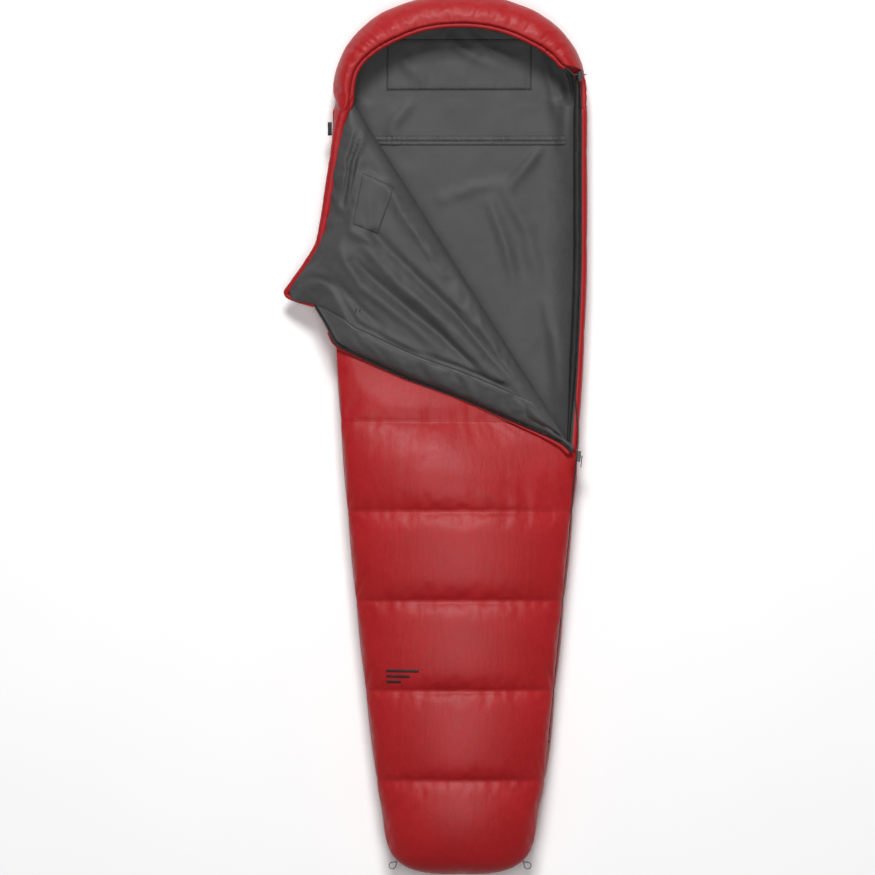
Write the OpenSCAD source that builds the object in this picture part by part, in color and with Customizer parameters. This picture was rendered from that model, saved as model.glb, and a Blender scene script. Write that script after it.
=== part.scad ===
// Mummy sleeping bag lying on its back, partly unzipped, with the flap folded back.
// +X is to the sleeper's left, +Y towards the head, +Z up. The bag lies on z = 0.

/* [Bag] */
// Length of the bag, foot to top of hood
bag_len = 2105; // [1950:5:2250]
// Width across the shoulders
shoulder_w = 606; // [560:2:640]
// Width at the foot box
foot_w = 352; // [320:2:380]
// Height of the closed, lofted bag
loft_h = 178; // [165:1:190]
// Height of the line where top and base panels meet
side_z = 97; // [92:1:102]

/* [Layers] */
// Thickness of the padded floor
floor_t = 42; // [36:1:48]
// Thickness of the padded top panel
top_t = 34; // [30:1:36]
// Thickness of the outer fabric
shell_t = 1.2; // [0.8:0.1:1.6]
// Thickness of the lining fabric
lining_t = 1.2; // [0.8:0.1:1.6]
// Gap kept between layers
gap = 0.3; // [0.2:0.05:0.4]

/* [Chambers] */
// Distance from seam to seam along the bag
chamber_pitch = 214; // [205:1:220]
// Seam nearest to the neck
neck_seam_y = 679; // [670:1:690]
// How far a chamber swells above its seams
chamber_swell = 12; // [6:1:16]

/* [Zip] */
// Place of the slider along the bag
slider_y = -46; // [-60:1:-40]
// End of the zip towards the foot
stop_y = -730; // [-760:5:-700]
// Radius of the closed coil
coil_r = 2; // [1.6:0.1:2.2]

/* [Hood] */
// Where the hood's arch begins
hood_y = 806; // [800:1:812]
// Half the thickness of the hood's padded wall, seen from above
hood_wide = 50; // [46:1:54]
// Half the height of the hood's padded wall
hood_tall = 71; // [66:1:74]
// Radius of the rolled hem
hem_r = 6; // [5:0.5:7]

/* [Hidden] */
$fn = 24;
half_len = bag_len / 2;
half_sh = shoulder_w / 2;
half_ft = foot_w / 2;
body_top_y = 800;
taper_y = 450;
taper_len = 1435;
foot_y = -940;
seam_count = 8;
edge_in = 14;
edge_gap = 0.4;
fold_z = 112;
fold_a = [-265, 811];
fold_b = [277, slider_y];
split_x = -262;
flap_top_y = 790;
flap_end_y = slider_y + 24;
hood_n = 2.2;
hood_mid_z = 76;
hood_in_wide = 16;
hood_in_tall = 33;
lock_at = [286, 866, 112.5];
zip_len = slider_y - stop_y;

// Outlines of the folded flap: neck edge and zip edge, each as x at a given y
neck_edge = [[-265, 811], [-298, 730], [-312, 650], [-326, 560], [-340, 480], [-372, 410], [-414, 352]];
zip_edge = [[-414, 352], [-405, 326], [-346, 316], [-312, 258], [-296, 226], [-250, 200], [-130, 144],
            [-12, 101], [125, 43], [238, -8], [277, -46]];
// Hang loop, seen along its own direction: out, across, down
loop_route = [[-3, -2, 0], [2, -2.4, 0], [7, -3.6, 0], [12, -5, -1], [17, -5.6, -2], [21, -4.6, -3],
              [23.4, -2.2, -3], [24, 0, -3], [23.4, 2.2, -3], [21, 4.6, -3], [17, 5.6, -2], [12, 5, -1],
              [7, 3.6, 0], [2, 2.4, 0], [-3, 2, 0]];
// Three bars of the mark on the shell: x from, x to, y from, y to
mark_bars = [[-176, -99, -560, -553], [-176, -120, -573, -566], [-176, -141, -586, -579]];

// ---- numbers and points ----
function mix(a, b, f) = a + (b - a) * f;
function clamp(v, lo, hi) = min(max(v, lo), hi);
function smooth(v) = let (c = clamp(v, 0, 1)) c * c * (3 - 2 * c);
function spread(n) = [for (i = [0:n]) sin(-90 + 180 * i / n)];
function steps(a, b, n) = [for (i = [0:n]) mix(a, b, i / n)];
function arch(f, p) = pow(max(0, 1 - pow(min(1, abs(f)), p)), 1 / p);
// x on an outline given as points with falling y
function on_line(pts, y, i = 0) =
    i >= len(pts) - 2 || y >= pts[i + 1][1]
        ? mix(pts[i][0], pts[i + 1][0], (pts[i][1] - y) / (pts[i][1] - pts[i + 1][1]))
        : on_line(pts, y, i + 1);

// ---- outline of the bag in plan ----
function half(y) = y > taper_y
    ? half_sh
    : half_sh - (half_sh - half_ft) * pow((taper_y - y) / taper_len, 1.55);
// The zipped side is straight from the slider to the bottom stop
function right(y) = y < slider_y && y > stop_y
    ? mix(half(slider_y), half(stop_y), (slider_y - y) / zip_len)
    : half(y);
function fold_x(y) = mix(fold_a[0], fold_b[0], (fold_a[1] - y) / (fold_a[1] - fold_b[1]));
function flap_left(y) = y > neck_edge[len(neck_edge) - 1][1] ? on_line(neck_edge, y) : on_line(zip_edge, y);
function seam(k) = neck_seam_y - chamber_pitch * k;
function swell(y) = chamber_swell * (abs(sin(180 * (y - neck_seam_y) / chamber_pitch)) - 0.5);

// ---- base panel: a shallow trough, and a flat floor under the hood ----
function floor_half(y) = (half_sh - 56) * arch((y - hood_y) / (half_len - hood_y - 56), hood_n);
function base_out(q, y) = y > body_top_y
    ? [q * floor_half(y), y, 0]
    : let (w = q > 0 ? right(y) : half(y), r = clamp((abs(q) - 0.62) / 0.38, 0, 1))
      [q * w, y, (side_z - edge_gap) * (1 - arch(r, 2))];
function base_in(q, y) = y > body_top_y
    ? [q * (floor_half(y) - 4), y, floor_t - 4 * pow(abs(q), 4)]
    : let (w = q > 0 ? right(y) : half(y), r = clamp((abs(q) - 0.66) / 0.34, 0, 1))
      [q * (w - edge_in), y, mix(floor_t, side_z - edge_gap, pow(r, 2.6))];

// ---- top panel: domed where it is closed, low and flat under the folded flap ----
function below_flap(x, y) =
    let (slope = (zip_edge[7][1] - zip_edge[9][1]) / (zip_edge[9][0] - zip_edge[7][0]))
    (zip_edge[7][1] - slope * (x - zip_edge[7][0])) - y;
function top_right(y) = y < slider_y ? right(y) : fold_x(y);
function top_z(x, y) =
    let (w = x > 0 ? right(y) : half(y), f = arch(x / w, 2.3), open = smooth((y - slider_y) / 90),
         rise = x > 0 ? mix(f, 1, open) : f,
         crown = mix(fold_z - 3, loft_h - 6 + swell(y), smooth((below_flap(x, y) - 22) / 170)))
    side_z + edge_gap + (crown - side_z - edge_gap) * rise;
function fold_gap(x, y) = y > slider_y ? fold_x(y) - x : 1000;
// Depth of the panel at a point; it closes to an edge along the sides and in a quarter round at the fold
function top_depth(x, y) =
    let (w = x > 0 ? right(y) : half(y), f = arch(x / w, 2.3), s = clamp(fold_gap(x, y) / top_t, 0, 1),
         closed = mix(10, top_t, f), round_end = mix(5, top_t, arch(1 - s, 2)))
    x > 0 && y > slider_y
        ? mix(min(closed, top_t), round_end, smooth((y - slider_y) / 90))
        : min(closed, round_end);
function top_x(q, y) = mix(-half(y), top_right(y), (q + 1) / 2);
function top_out(q, y) = let (x = top_x(q, y)) [x, y, top_z(x, y)];
function top_in(q, y) =
    let (x = top_x(q, y), w = half(y), side = pow(abs(x / w), 4) * edge_in * smooth(fold_gap(x, y) / 60),
         low = mix(fold_z - top_t - 3, side_z + edge_gap, smooth((abs(x / w) - 0.6) / 0.36)),
         inset = x > 0 && y > slider_y ? side * (1 - smooth((y - slider_y) / 90)) : side)
    [x - sign(x) * inset, y, max(low + 4 * (1 - q * q), top_z(x, y) - top_depth(x, y))];

// ---- folded flap: lies on the top panel and droops past the left side ----
function droop(x) = let (d = max(0, -250 - x)) d < 90 ? d * d / 300 : 27 + (d - 90) * 0.5;
function flap_under(x, y) = fold_z + edge_gap - droop(x);
function flap_depth(x, y) =
    let (s = clamp((fold_x(y) - x) / top_t, 0, 1), e = clamp((x - flap_left(y)) / 60, 0, 1))
    min(mix(5, top_t, arch(1 - s, 2)), mix(8, top_t, sqrt(e)));
function flap_x(q, y, a, b) = mix(a, b, (q + 1) / 2);
function flap_a(q, y, a, b) = let (x = flap_x(q, y, a, b)) [x, y, flap_under(x, y)];
function flap_b(q, y, a, b) = let (x = flap_x(q, y, a, b)) [x, y, flap_under(x, y) + flap_depth(x, y)];

// ---- hood wall: a fat C section carried round the arch ----
function hood_side(a) = mix(0.62, 1, smooth(1.5 * sin(a) - 0.35));
function hood_top_angle(a) = mix(12, 110, smooth(min((a - 12) / 12, (176 - a) / 12)));
function arch_at(a, e, z) =
    let (c = cos(a), s = max(0, sin(a)))
    [sign(c) * pow(abs(c), 2 / hood_n) * (half_sh - e),
     hood_y + pow(s, 2 / hood_n) * (half_len - hood_y - e), z];
function hood_point(a, t, inner) =
    let (b = mix(-90, hood_top_angle(a), t), wide = inner ? hood_in_wide : hood_wide,
         tall = inner ? hood_in_tall : hood_tall, mid = hood_wide + (inner ? 7.6 : 0))
    arch_at(a, hood_side(a) * (mid - wide * cos(b)), hood_mid_z + tall * sin(b));
function hood_arc(n) = steps(180, 0, n);

// ---- solids between two grids of points ----
function depth_at(a, b, from_a, from_b) =
    let (d = norm(b - a))
    from_b < 0 ? a + (b - a) * min(0.45, from_a / d) : b + (a - b) * min(0.45, from_b / d);
function layer(ga, gb, from_a, from_b) =
    [for (i = [0:len(ga) - 1]) [for (j = [0:len(ga[0]) - 1]) depth_at(ga[i][j], gb[i][j], from_a, from_b)]];
// Faces of a slab: side A, side B and the four edges. flip turns it when A's normals point inwards.
module slab(ga, gb, flip = false) {
    m = len(ga);
    n = len(ga[0]);
    pts = concat([for (row = ga) each row], [for (row = gb) each row]);
    function at(s, i, j) = s * m * n + i * n + j;
    sides = [for (i = [0:m - 2], j = [0:n - 2], s = [0, 1]) each
        let (a = at(s, i, j), b = at(s, i, j + 1), c = at(s, i + 1, j + 1), d = at(s, i + 1, j))
        s == 0 ? [[a, b, c], [a, c, d]] : [[a, c, b], [a, d, c]]];
    ends = [for (j = [0:n - 2], i = [0, m - 1]) each
        let (a = at(0, i, j), b = at(0, i, j + 1), c = at(1, i, j + 1), d = at(1, i, j))
        i == 0 ? [[a, c, b], [a, d, c]] : [[a, b, c], [a, c, d]]];
    rims = [for (i = [0:m - 2], j = [0, n - 1]) each
        let (a = at(0, i, j), b = at(0, i + 1, j), c = at(1, i + 1, j), d = at(1, i, j))
        j == 0 ? [[a, b, c], [a, c, d]] : [[a, c, b], [a, d, c]]];
    faces = concat(sides, ends, rims);
    polyhedron(pts, flip ? [for (f = faces) [f[2], f[1], f[0]]] : faces);
}
module shell_layer(ga, gb, flip) slab(ga, layer(ga, gb, shell_t, -1), flip);
module fill_layer(ga, gb, flip)
    slab(layer(ga, gb, shell_t + gap, -1), layer(ga, gb, 0, lining_t + gap), flip);
module lining_layer(ga, gb, flip) slab(layer(ga, gb, 0, lining_t), gb, flip);

// Tube along a route, and a hollow one when bore is given
function unit(v) = v / norm(v);
function ring(route, i, r, n) =
    let (t = unit(route[min(i + 1, len(route) - 1)] - route[max(i - 1, 0)]),
         side = unit(cross(t, abs(t[2]) > 0.9 ? [1, 0, 0] : [0, 0, 1])), up = cross(side, t))
    [for (k = [0:n - 1]) route[i] + r * (cos(360 * k / n) * side + sin(360 * k / n) * up)];
module tube(route, r, n = 8, bore = 0) {
    m = len(route);
    pts = concat([for (i = [0:m - 1]) each ring(route, i, r, n)],
                 bore > 0 ? [for (i = [0:m - 1]) each ring(route, i, bore, n)] : []);
    function at(s, i, k) = (s * m + i) * n + (k % n);
    function wall(s) = [for (i = [0:m - 2], k = [0:n - 1]) each
        let (a = at(s, i, k), b = at(s, i, k + 1), c = at(s, i + 1, k + 1), d = at(s, i + 1, k))
        s == 0 ? [[a, b, c], [a, c, d]] : [[a, c, b], [a, d, c]]];
    rims = [for (k = [0:n - 1]) each
        [[at(0, 0, k), at(1, 0, k + 1), at(0, 0, k + 1)], [at(0, 0, k), at(1, 0, k), at(1, 0, k + 1)],
         [at(0, m - 1, k), at(0, m - 1, k + 1), at(1, m - 1, k + 1)],
         [at(0, m - 1, k), at(1, m - 1, k + 1), at(1, m - 1, k)]]];
    caps = [[for (k = [n - 1:-1:0]) at(0, 0, k)], [for (k = [0:n - 1]) at(0, m - 1, k)]];
    polyhedron(pts, bore > 0 ? concat(wall(0), wall(1), rims) : concat(wall(0), caps));
}

// ---- rows of stations ----
across = spread(12);
// Seams first to last, each followed by the middle of its chamber
function seam_rows(first, last) =
    [for (k = [first:last]) each [seam(k), (seam(k) + seam(k + 1)) / 2]];
end_rows = [seam(seam_count - 1), -880, foot_y + 1];
base_rows = concat([990, 930, 870, hood_y + 1, body_top_y, (body_top_y + seam(0)) / 2],
                   seam_rows(0, seam_count - 2), end_rows);
top_rows = concat([flap_top_y - 6, (flap_top_y - 6 + seam(0)) / 2], seam_rows(0, 2),
                  [seam(3), slider_y + 40, slider_y + 1, slider_y - 1, (seam(3) + seam(4)) / 2 - 30],
                  seam_rows(4, seam_count - 2), end_rows);
function base_grid(rows, inner) =
    [for (y = rows) [for (q = across) inner ? base_in(q, y) : base_out(q, y)]];
function top_grid(rows, inner) =
    [for (y = rows) [for (q = across) inner ? top_in(q, y) : top_out(q, y)]];
// Rows of one chamber, cut from the whole panel's rows, with its ends drawn in by e
function between(rows, hi, lo, e) =
    concat([hi - e], [for (y = rows) if (y < hi - 2 && y > lo + 2) y], [lo + e]);
base_bounds = concat([body_top_y], [for (k = [0:seam_count - 1]) seam(k)], [foot_y + 1]);
top_bounds = concat([flap_top_y - 6], [for (k = [0:seam_count - 1]) seam(k)], [foot_y + 1]);
baffle_e = 0.8;

// ---- base panel ----
module base_shell() color([0.62, 0.12, 0.14])
    shell_layer(base_grid(base_rows, false), base_grid(base_rows, true), true);
module base_lining() color([0.25, 0.25, 0.26])
    lining_layer(base_grid(base_rows, false), base_grid(base_rows, true), true);
module base_fill() color([0.92, 0.92, 0.9]) {
    for (k = [0:len(base_bounds) - 2]) {
        rows = between(base_rows, base_bounds[k], base_bounds[k + 1], baffle_e);
        fill_layer(base_grid(rows, false), base_grid(rows, true), true);
    }
    rows = between(base_rows, 990, hood_y + 1, baffle_e);
    fill_layer(base_grid(rows, false), base_grid(rows, true), true);
}
module base_baffles() color([0.8, 0.8, 0.8])
    for (k = [0:seam_count - 1]) {
        rows = [seam(k) + 0.4, seam(k) - 0.4];
        fill_layer(base_grid(rows, false), base_grid(rows, true), true);
    }

// ---- top panel, closed part ----
module top_shell() color([0.69, 0.13, 0.15])
    shell_layer(top_grid(top_rows, false), top_grid(top_rows, true), false);
module top_lining() color([0.25, 0.25, 0.26])
    lining_layer(top_grid(top_rows, false), top_grid(top_rows, true), false);
// Filling of the chambers first to last, counted from the neck
module top_fill(first, last) color([0.92, 0.92, 0.9])
    for (k = [first:last]) {
        rows = between(top_rows, top_bounds[k], top_bounds[k + 1], baffle_e);
        fill_layer(top_grid(rows, false), top_grid(rows, true), false);
    }
module top_fill_chest() top_fill(0, 3);
module top_fill_hip() top_fill(4, 4);
module top_fill_thigh() top_fill(5, 5);
module top_fill_knee() top_fill(6, 6);
module top_fill_shin() top_fill(7, 7);
module top_fill_ankle() top_fill(8, 8);
module top_baffles() color([0.8, 0.8, 0.8])
    for (k = [0:seam_count - 1]) {
        rows = [seam(k) + 0.4, seam(k) - 0.4];
        fill_layer(top_grid(rows, false), top_grid(rows, true), false);
    }

// ---- foot box: nested bowls ----
foot_rings = [0, 0.4, 0.7, 0.88, 0.97];
function foot_ring(f, inset) =
    let (k = pow(1 - pow(f, 3), 1 / 3), y = foot_y - (half_len + foot_y - inset) * f,
         w = (half(foot_y) - inset) * k, h = (loft_h / 2 - 3 - inset) * k)
    [for (i = [0:27]) let (a = 360 * i / 28, c = cos(a), s = sin(a))
        [w * sign(c) * pow(abs(c), 0.8), y, loft_h / 2 + h * sign(s) * pow(abs(s), 0.8)]];
module bowl(inset_a, inset_b) {
    n = 28;
    m = len(foot_rings);
    pts = concat([for (f = foot_rings) each foot_ring(f, inset_a)],
                 [for (f = foot_rings) each foot_ring(f, inset_b)]);
    function at(s, i, k) = (s * m + i) * n + (k % n);
    walls = [for (s = [0, 1], i = [0:m - 2], k = [0:n - 1]) each
        let (a = at(s, i, k), b = at(s, i, k + 1), c = at(s, i + 1, k + 1), d = at(s, i + 1, k))
        s == 0 ? [[a, c, b], [a, d, c]] : [[a, b, c], [a, c, d]]];
    rims = [for (k = [0:n - 1]) each
        [[at(0, 0, k), at(0, 0, k + 1), at(1, 0, k + 1)], [at(0, 0, k), at(1, 0, k + 1), at(1, 0, k)]]];
    caps = [[for (k = [n - 1:-1:0]) at(0, m - 1, k)], [for (k = [0:n - 1]) at(1, m - 1, k)]];
    polyhedron(pts, concat(walls, rims, caps));
}
foot_wall = 34;
module foot_shell() color([0.62, 0.12, 0.14]) bowl(0, shell_t);
module foot_fill() color([0.92, 0.92, 0.9]) bowl(shell_t + gap, foot_wall - lining_t - gap);
module foot_lining() color([0.25, 0.25, 0.26]) bowl(foot_wall - lining_t, foot_wall);

// ---- hood ----
function hood_grid(inner) = [for (a = hood_arc(24)) [for (t = steps(0, 1, 7)) hood_point(a, t, inner)]];
module hood_shell() color([0.7, 0.15, 0.17]) shell_layer(hood_grid(false), hood_grid(true), false);
module hood_fill() color([0.92, 0.92, 0.9]) fill_layer(hood_grid(false), hood_grid(true), false);
module hood_lining() color([0.2, 0.2, 0.21]) lining_layer(hood_grid(false), hood_grid(true), false);
// The hem lies just inside the rim
function rim_mid(a) = (hood_point(a, 1, false) + hood_point(a, 1, true)) / 2;
function hem_at(a) = let (m = rim_mid(a)) m + unit([0, hood_y - 40, m[2]] - m) * (hem_r + 4);
hem_route = [for (a = steps(170, 20, 30)) hem_at(a)];
hem_end = hem_route[len(hem_route) - 1];
module hood_hem() color([0.6, 0.12, 0.14]) tube(hem_route, hem_r, 8, 3);
module hood_drawcord() color([0.2, 0.2, 0.2])
    tube(concat(hem_route, [[lock_at[0] - 15, lock_at[1], lock_at[2]], [lock_at[0], lock_at[1], lock_at[2]],
                            [lock_at[0] + 16, lock_at[1], lock_at[2]]]), 1.2, 6);

// ---- inside of the base ----
module pillow_pocket() color([0.22, 0.22, 0.23])
    translate([-173, 833, floor_t + gap]) cube([346, 106, 1.2]);
module neck_tape() color([0.18, 0.18, 0.19]) translate([-150, 703, floor_t + gap]) cube([320, 20, 1]);
function tube_route(y1, y0, n) = [for (y = steps(y1, y0, n)) [right(y) - 47, y, side_z - 22]];
module draft_tube() color([0.2, 0.2, 0.21]) tube(tube_route(790, 125, 12), 6, 8, 5);
module draft_tube_fill() color([0.92, 0.92, 0.9]) tube(tube_route(788, 127, 12), 4.6, 8);

// ---- zip ----
tape_h = 11;
// Strip standing along the right side, between two heights
module side_tape(y1, y0, n, z0, z1) {
    rows = steps(y1, y0, n);
    slab([for (y = rows) [[right(y) + 1.2, y, z0], [right(y) + 1.2, y, z1]]],
         [for (y = rows) [[right(y) + 0.4, y, z0], [right(y) + 0.4, y, z1]]], true);
}
function coil_at(y) = [right(y) + 1.6 + coil_r, y, side_z];
module zip_tape_base() color([0.15, 0.15, 0.16])
    side_tape(844, stop_y, 24, side_z - tape_h, side_z - 0.8);
module zip_tape_top() color([0.15, 0.15, 0.16])
    side_tape(slider_y - 16, stop_y, 2, side_z + 0.8, side_z + tape_h);
module zip_coil_base() color([0.1, 0.1, 0.11])
    tube([for (y = steps(844, slider_y + 17, 18)) coil_at(y) - [0.6, 0, 4]], 1.2, 6);
module zip_coil_closed() color([0.1, 0.1, 0.11])
    tube([coil_at(slider_y + 15), coil_at(stop_y + 8)], coil_r, 8);
module zip_bottom_stop() color([0.55, 0.55, 0.56])
    translate(coil_at(stop_y + 3) + [0.8, 0, 0]) cube([5, 8, 7], center = true);
module zip_top_stop() color([0.55, 0.55, 0.56]) translate([-411, 336, 24]) cube([5, 8, 5], center = true);

zip_turn = atan2(half(slider_y) - half(stop_y), zip_len);
// Places children at the slider, with their Y along the closed zip
module at_slider() translate(coil_at(slider_y)) rotate(-zip_turn) children();
module slider_body() color([0.35, 0.35, 0.36]) at_slider() difference() {
    translate([2.3, 0, 0]) cube([8, 26, 15], center = true);
    rotate([90, 0, 0]) cylinder(r = coil_r + 0.5, h = 40, center = true);
    translate([-3, 0, 0]) cube([6, 40, 3], center = true);
}
pin_r = 1.1;
module pull_tab() color([0.3, 0.3, 0.31]) at_slider() translate([9.2, 0, 0]) {
    difference() {
        union() {
            cylinder(r = 2.4, h = 6, center = true);
            translate([-1, -26, -3]) cube([2, 26, 6]);
        }
        cylinder(r = pin_r, h = 20, center = true);
        translate([-2, -23, -1]) cube([4, 4, 2]);
    }
}

// ---- cord lock ----
module lock_barrel() color([0.25, 0.25, 0.26]) translate(lock_at) difference() {
    rotate([90, 0, 0]) cylinder(r = 6, h = 14, center = true);
    translate([0, -3.5, 0]) rotate([90, 0, 0]) cylinder(r = 4.4, h = 8.2, center = true);
    rotate([0, 90, 0]) cylinder(r = 1.7, h = 20, center = true);
}
module lock_button() color([0.3, 0.3, 0.31]) translate(lock_at + [0, -11.3, 0]) difference() {
    rotate([90, 0, 0]) cylinder(r = 4.2, h = 8, center = true);
    translate([0, 3, 0]) rotate([90, 0, 0]) cylinder(r = 3.2, h = 6, center = true);
}
module lock_spring() color("silver") translate(lock_at) difference() {
    translate([0, -4.6, 0]) rotate([90, 0, 0]) cylinder(r = 2.8, h = 5, center = true);
    translate([0, -4.6, 0]) rotate([90, 0, 0]) cylinder(r = 2.1, h = 9, center = true);
}

// ---- trim ----
module side_label() color([0.06, 0.06, 0.06])
    translate([-half_sh - 10, 722, side_z - 18]) cube([9.4, 32, 1.4]);
module hang_loop(side) {
    turn = side > 0 ? -42 : -138;
    translate([side * 160, -1023, loft_h / 2 - 3])
        tube([for (p = loop_route) let (c = cos(turn), s = sin(turn))
            [p[0] * c - p[1] * s, p[0] * s + p[1] * c, p[2]]], 1.2, 8);
}
module hang_loop_left() color([0.4, 0.4, 0.4]) hang_loop(-1);
module hang_loop_right() color([0.4, 0.4, 0.4]) hang_loop(1);
module shell_mark() color([0.3, 0.1, 0.12])
    for (b = mark_bars) {
        xs = steps(b[0], b[1], 4);
        slab([for (y = [b[3], b[2]]) [for (x = xs) [x, y, top_z(x, y) + 1.6]]],
             [for (y = [b[3], b[2]]) [for (x = xs) [x, y, top_z(x, y) + 0.8]]], false);
    }

// ---- flap and its corner ----
flap_rows = [flap_top_y - 20, 700, 600, 500, 410, 352, 326, 316, 258, 226, 200, 144, 101, 43, 10, -8,
             flap_end_y];
corner_rows = [flap_top_y - 30, 700, 650, 560, 480, 410, 352, 326, 316, 258, 226, 208];
function flap_grid(rows, top, corner) = [for (y = rows) [for (q = spread(8))
    let (a = corner ? flap_left(y) : max(flap_left(y), split_x + 0.5),
         b = corner ? split_x - 0.5 : fold_x(y) - 0.5)
    top ? flap_b(q, y, a, b) : flap_a(q, y, a, b)]];
module flap_shell() color([0.69, 0.13, 0.15])
    shell_layer(flap_grid(flap_rows, false, false), flap_grid(flap_rows, true, false), true);
module flap_fill() color([0.92, 0.92, 0.9])
    fill_layer(flap_grid(flap_rows, false, false), flap_grid(flap_rows, true, false), true);
module flap_lining() color([0.28, 0.28, 0.29])
    lining_layer(flap_grid(flap_rows, false, false), flap_grid(flap_rows, true, false), true);
module corner_shell() color([0.69, 0.13, 0.15])
    shell_layer(flap_grid(corner_rows, false, true), flap_grid(corner_rows, true, true), true);
module corner_fill() color([0.92, 0.92, 0.9])
    fill_layer(flap_grid(corner_rows, false, true), flap_grid(corner_rows, true, true), true);
module corner_lining() color([0.28, 0.28, 0.29])
    lining_layer(flap_grid(corner_rows, false, true), flap_grid(corner_rows, true, true), true);
// Strip that lies on the lining, x0 to x1 at each y
module patch(rows, x0, x1, n, t) {
    g = [for (i = [0:len(rows) - 1]) [for (x = steps(x0[i], x1[i], n)) [x, rows[i], flap_under(x, rows[i])
         + flap_depth(x, rows[i])]]];
    slab([for (r = g) [for (p = r) p + [0, 0, gap + t + 2]]],
         [for (r = g) [for (p = r) p + [0, 0, gap + 2]]], false);
}
facing_rows = [190, 144, 101, 43];
facing_w = 60;
module flap_facing() color([0.27, 0.27, 0.28])
    patch(facing_rows, [for (y = facing_rows) flap_left(y) + 4],
          [for (y = facing_rows) flap_left(y) + 4 + facing_w], 4, 1);
module inner_pocket() color([0.24, 0.24, 0.25])
    patch([600, 560, 520, 500], [-236, -240, -244, -246], [-160, -168, -176, -180], 4, 1);
// Zip along the flap's edge, set out from the edge by d
function edge_out(i, d) = let (t = unit(zip_edge[min(i + 1, len(zip_edge) - 1)] - zip_edge[max(i - 1, 0)]))
    zip_edge[i] + d * [t[1], -t[0]];
function edge_point(i, d, z) = let (p = edge_out(i, d)) [p[0], p[1], flap_under(zip_edge[i][0], 0) + z];
module edge_tape(from, to) {
    slab([for (i = [from:to]) [edge_point(i, 0.6, 4.8), edge_point(i, 8, 4.8)]],
         [for (i = [from:to]) [edge_point(i, 0.6, 4), edge_point(i, 8, 4)]], true);
}
module zip_tape_flap() color([0.15, 0.15, 0.16]) edge_tape(5, 9);
module zip_coil_flap() color([0.1, 0.1, 0.11]) tube([for (i = [5:9]) edge_point(i, 9.8, 4.4)], 1.2, 6);
module zip_tape_corner() color([0.15, 0.15, 0.16]) edge_tape(2, 4);
module zip_coil_corner() color([0.1, 0.1, 0.11]) tube([for (i = [2:4]) edge_point(i, 9.8, 4.4)], 1.2, 6);
hem_rows = [700, 650, 560, 480, 410, 356];
module neck_hem() color([0.6, 0.12, 0.14])
    tube([for (y = hem_rows) [flap_left(y) - 8, y, flap_under(flap_left(y), y) + 5]], 6, 8);

base_shell();
base_fill();
base_baffles();
base_lining();
top_shell();
top_fill_chest();
top_fill_hip();
top_fill_thigh();
top_fill_knee();
top_fill_shin();
top_fill_ankle();
top_baffles();
top_lining();
foot_shell();
foot_fill();
foot_lining();
hood_shell();
hood_fill();
hood_lining();
hood_hem();
hood_drawcord();
pillow_pocket();
neck_tape();
draft_tube();
draft_tube_fill();
zip_tape_base();
zip_coil_base();
zip_coil_closed();
zip_tape_top();
zip_bottom_stop();
side_label();
hang_loop_left();
hang_loop_right();
shell_mark();
flap_shell();
flap_fill();
flap_lining();
flap_facing();
inner_pocket();
zip_tape_flap();
zip_coil_flap();
corner_shell();
corner_fill();
corner_lining();
neck_hem();
zip_tape_corner();
zip_coil_corner();
zip_top_stop();
slider_body();
pull_tab();
lock_barrel();
lock_spring();
lock_button();
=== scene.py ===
import math

import bmesh
import bpy
from mathutils import Matrix, Vector, noise
from mathutils.bvhtree import BVHTree


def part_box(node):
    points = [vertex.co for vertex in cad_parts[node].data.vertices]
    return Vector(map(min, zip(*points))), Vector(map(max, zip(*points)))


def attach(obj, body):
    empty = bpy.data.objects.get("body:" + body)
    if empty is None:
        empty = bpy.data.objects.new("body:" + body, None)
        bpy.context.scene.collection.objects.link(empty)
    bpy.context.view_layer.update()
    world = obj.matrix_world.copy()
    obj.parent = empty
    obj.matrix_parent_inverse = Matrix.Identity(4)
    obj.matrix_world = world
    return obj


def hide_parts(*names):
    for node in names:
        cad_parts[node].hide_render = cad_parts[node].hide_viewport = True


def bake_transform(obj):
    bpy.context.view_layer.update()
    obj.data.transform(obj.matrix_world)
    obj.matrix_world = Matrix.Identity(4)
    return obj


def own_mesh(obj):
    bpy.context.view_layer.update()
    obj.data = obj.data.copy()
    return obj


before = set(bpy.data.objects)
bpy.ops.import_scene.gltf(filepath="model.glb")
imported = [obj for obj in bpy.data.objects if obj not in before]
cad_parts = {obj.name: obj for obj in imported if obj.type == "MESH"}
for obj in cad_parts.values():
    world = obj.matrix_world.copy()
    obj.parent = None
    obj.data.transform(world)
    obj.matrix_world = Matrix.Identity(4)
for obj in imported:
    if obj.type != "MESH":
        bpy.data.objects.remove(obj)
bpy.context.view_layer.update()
rightward, headward, upward = Vector((1, 0, 0)), Vector((0, 1, 0)), Vector((0, 0, 1))
print("frame loaded")


# small maths
def mix(a, b, f):
    return a + (b - a) * f


def clamp(v, low=0.0, high=1.0):
    return min(max(v, low), high)


def smooth(v):
    v = clamp(v)
    return v * v * (3 - 2 * v)


def arch(f, power):
    return max(0.0, 1 - min(1.0, abs(f)) ** power) ** (1 / power)


def along(points, x):
    # straight-line reading of a list of (x, value) with rising x
    for (x0, y0), (x1, y1) in zip(points, points[1:]):
        if x <= x1:
            return mix(y0, y1, clamp((x - x0) / (x1 - x0)))
    return points[-1][1]


def rumple(x, y, z=0.0):
    return noise.noise(Vector((x, y, z)))


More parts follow.
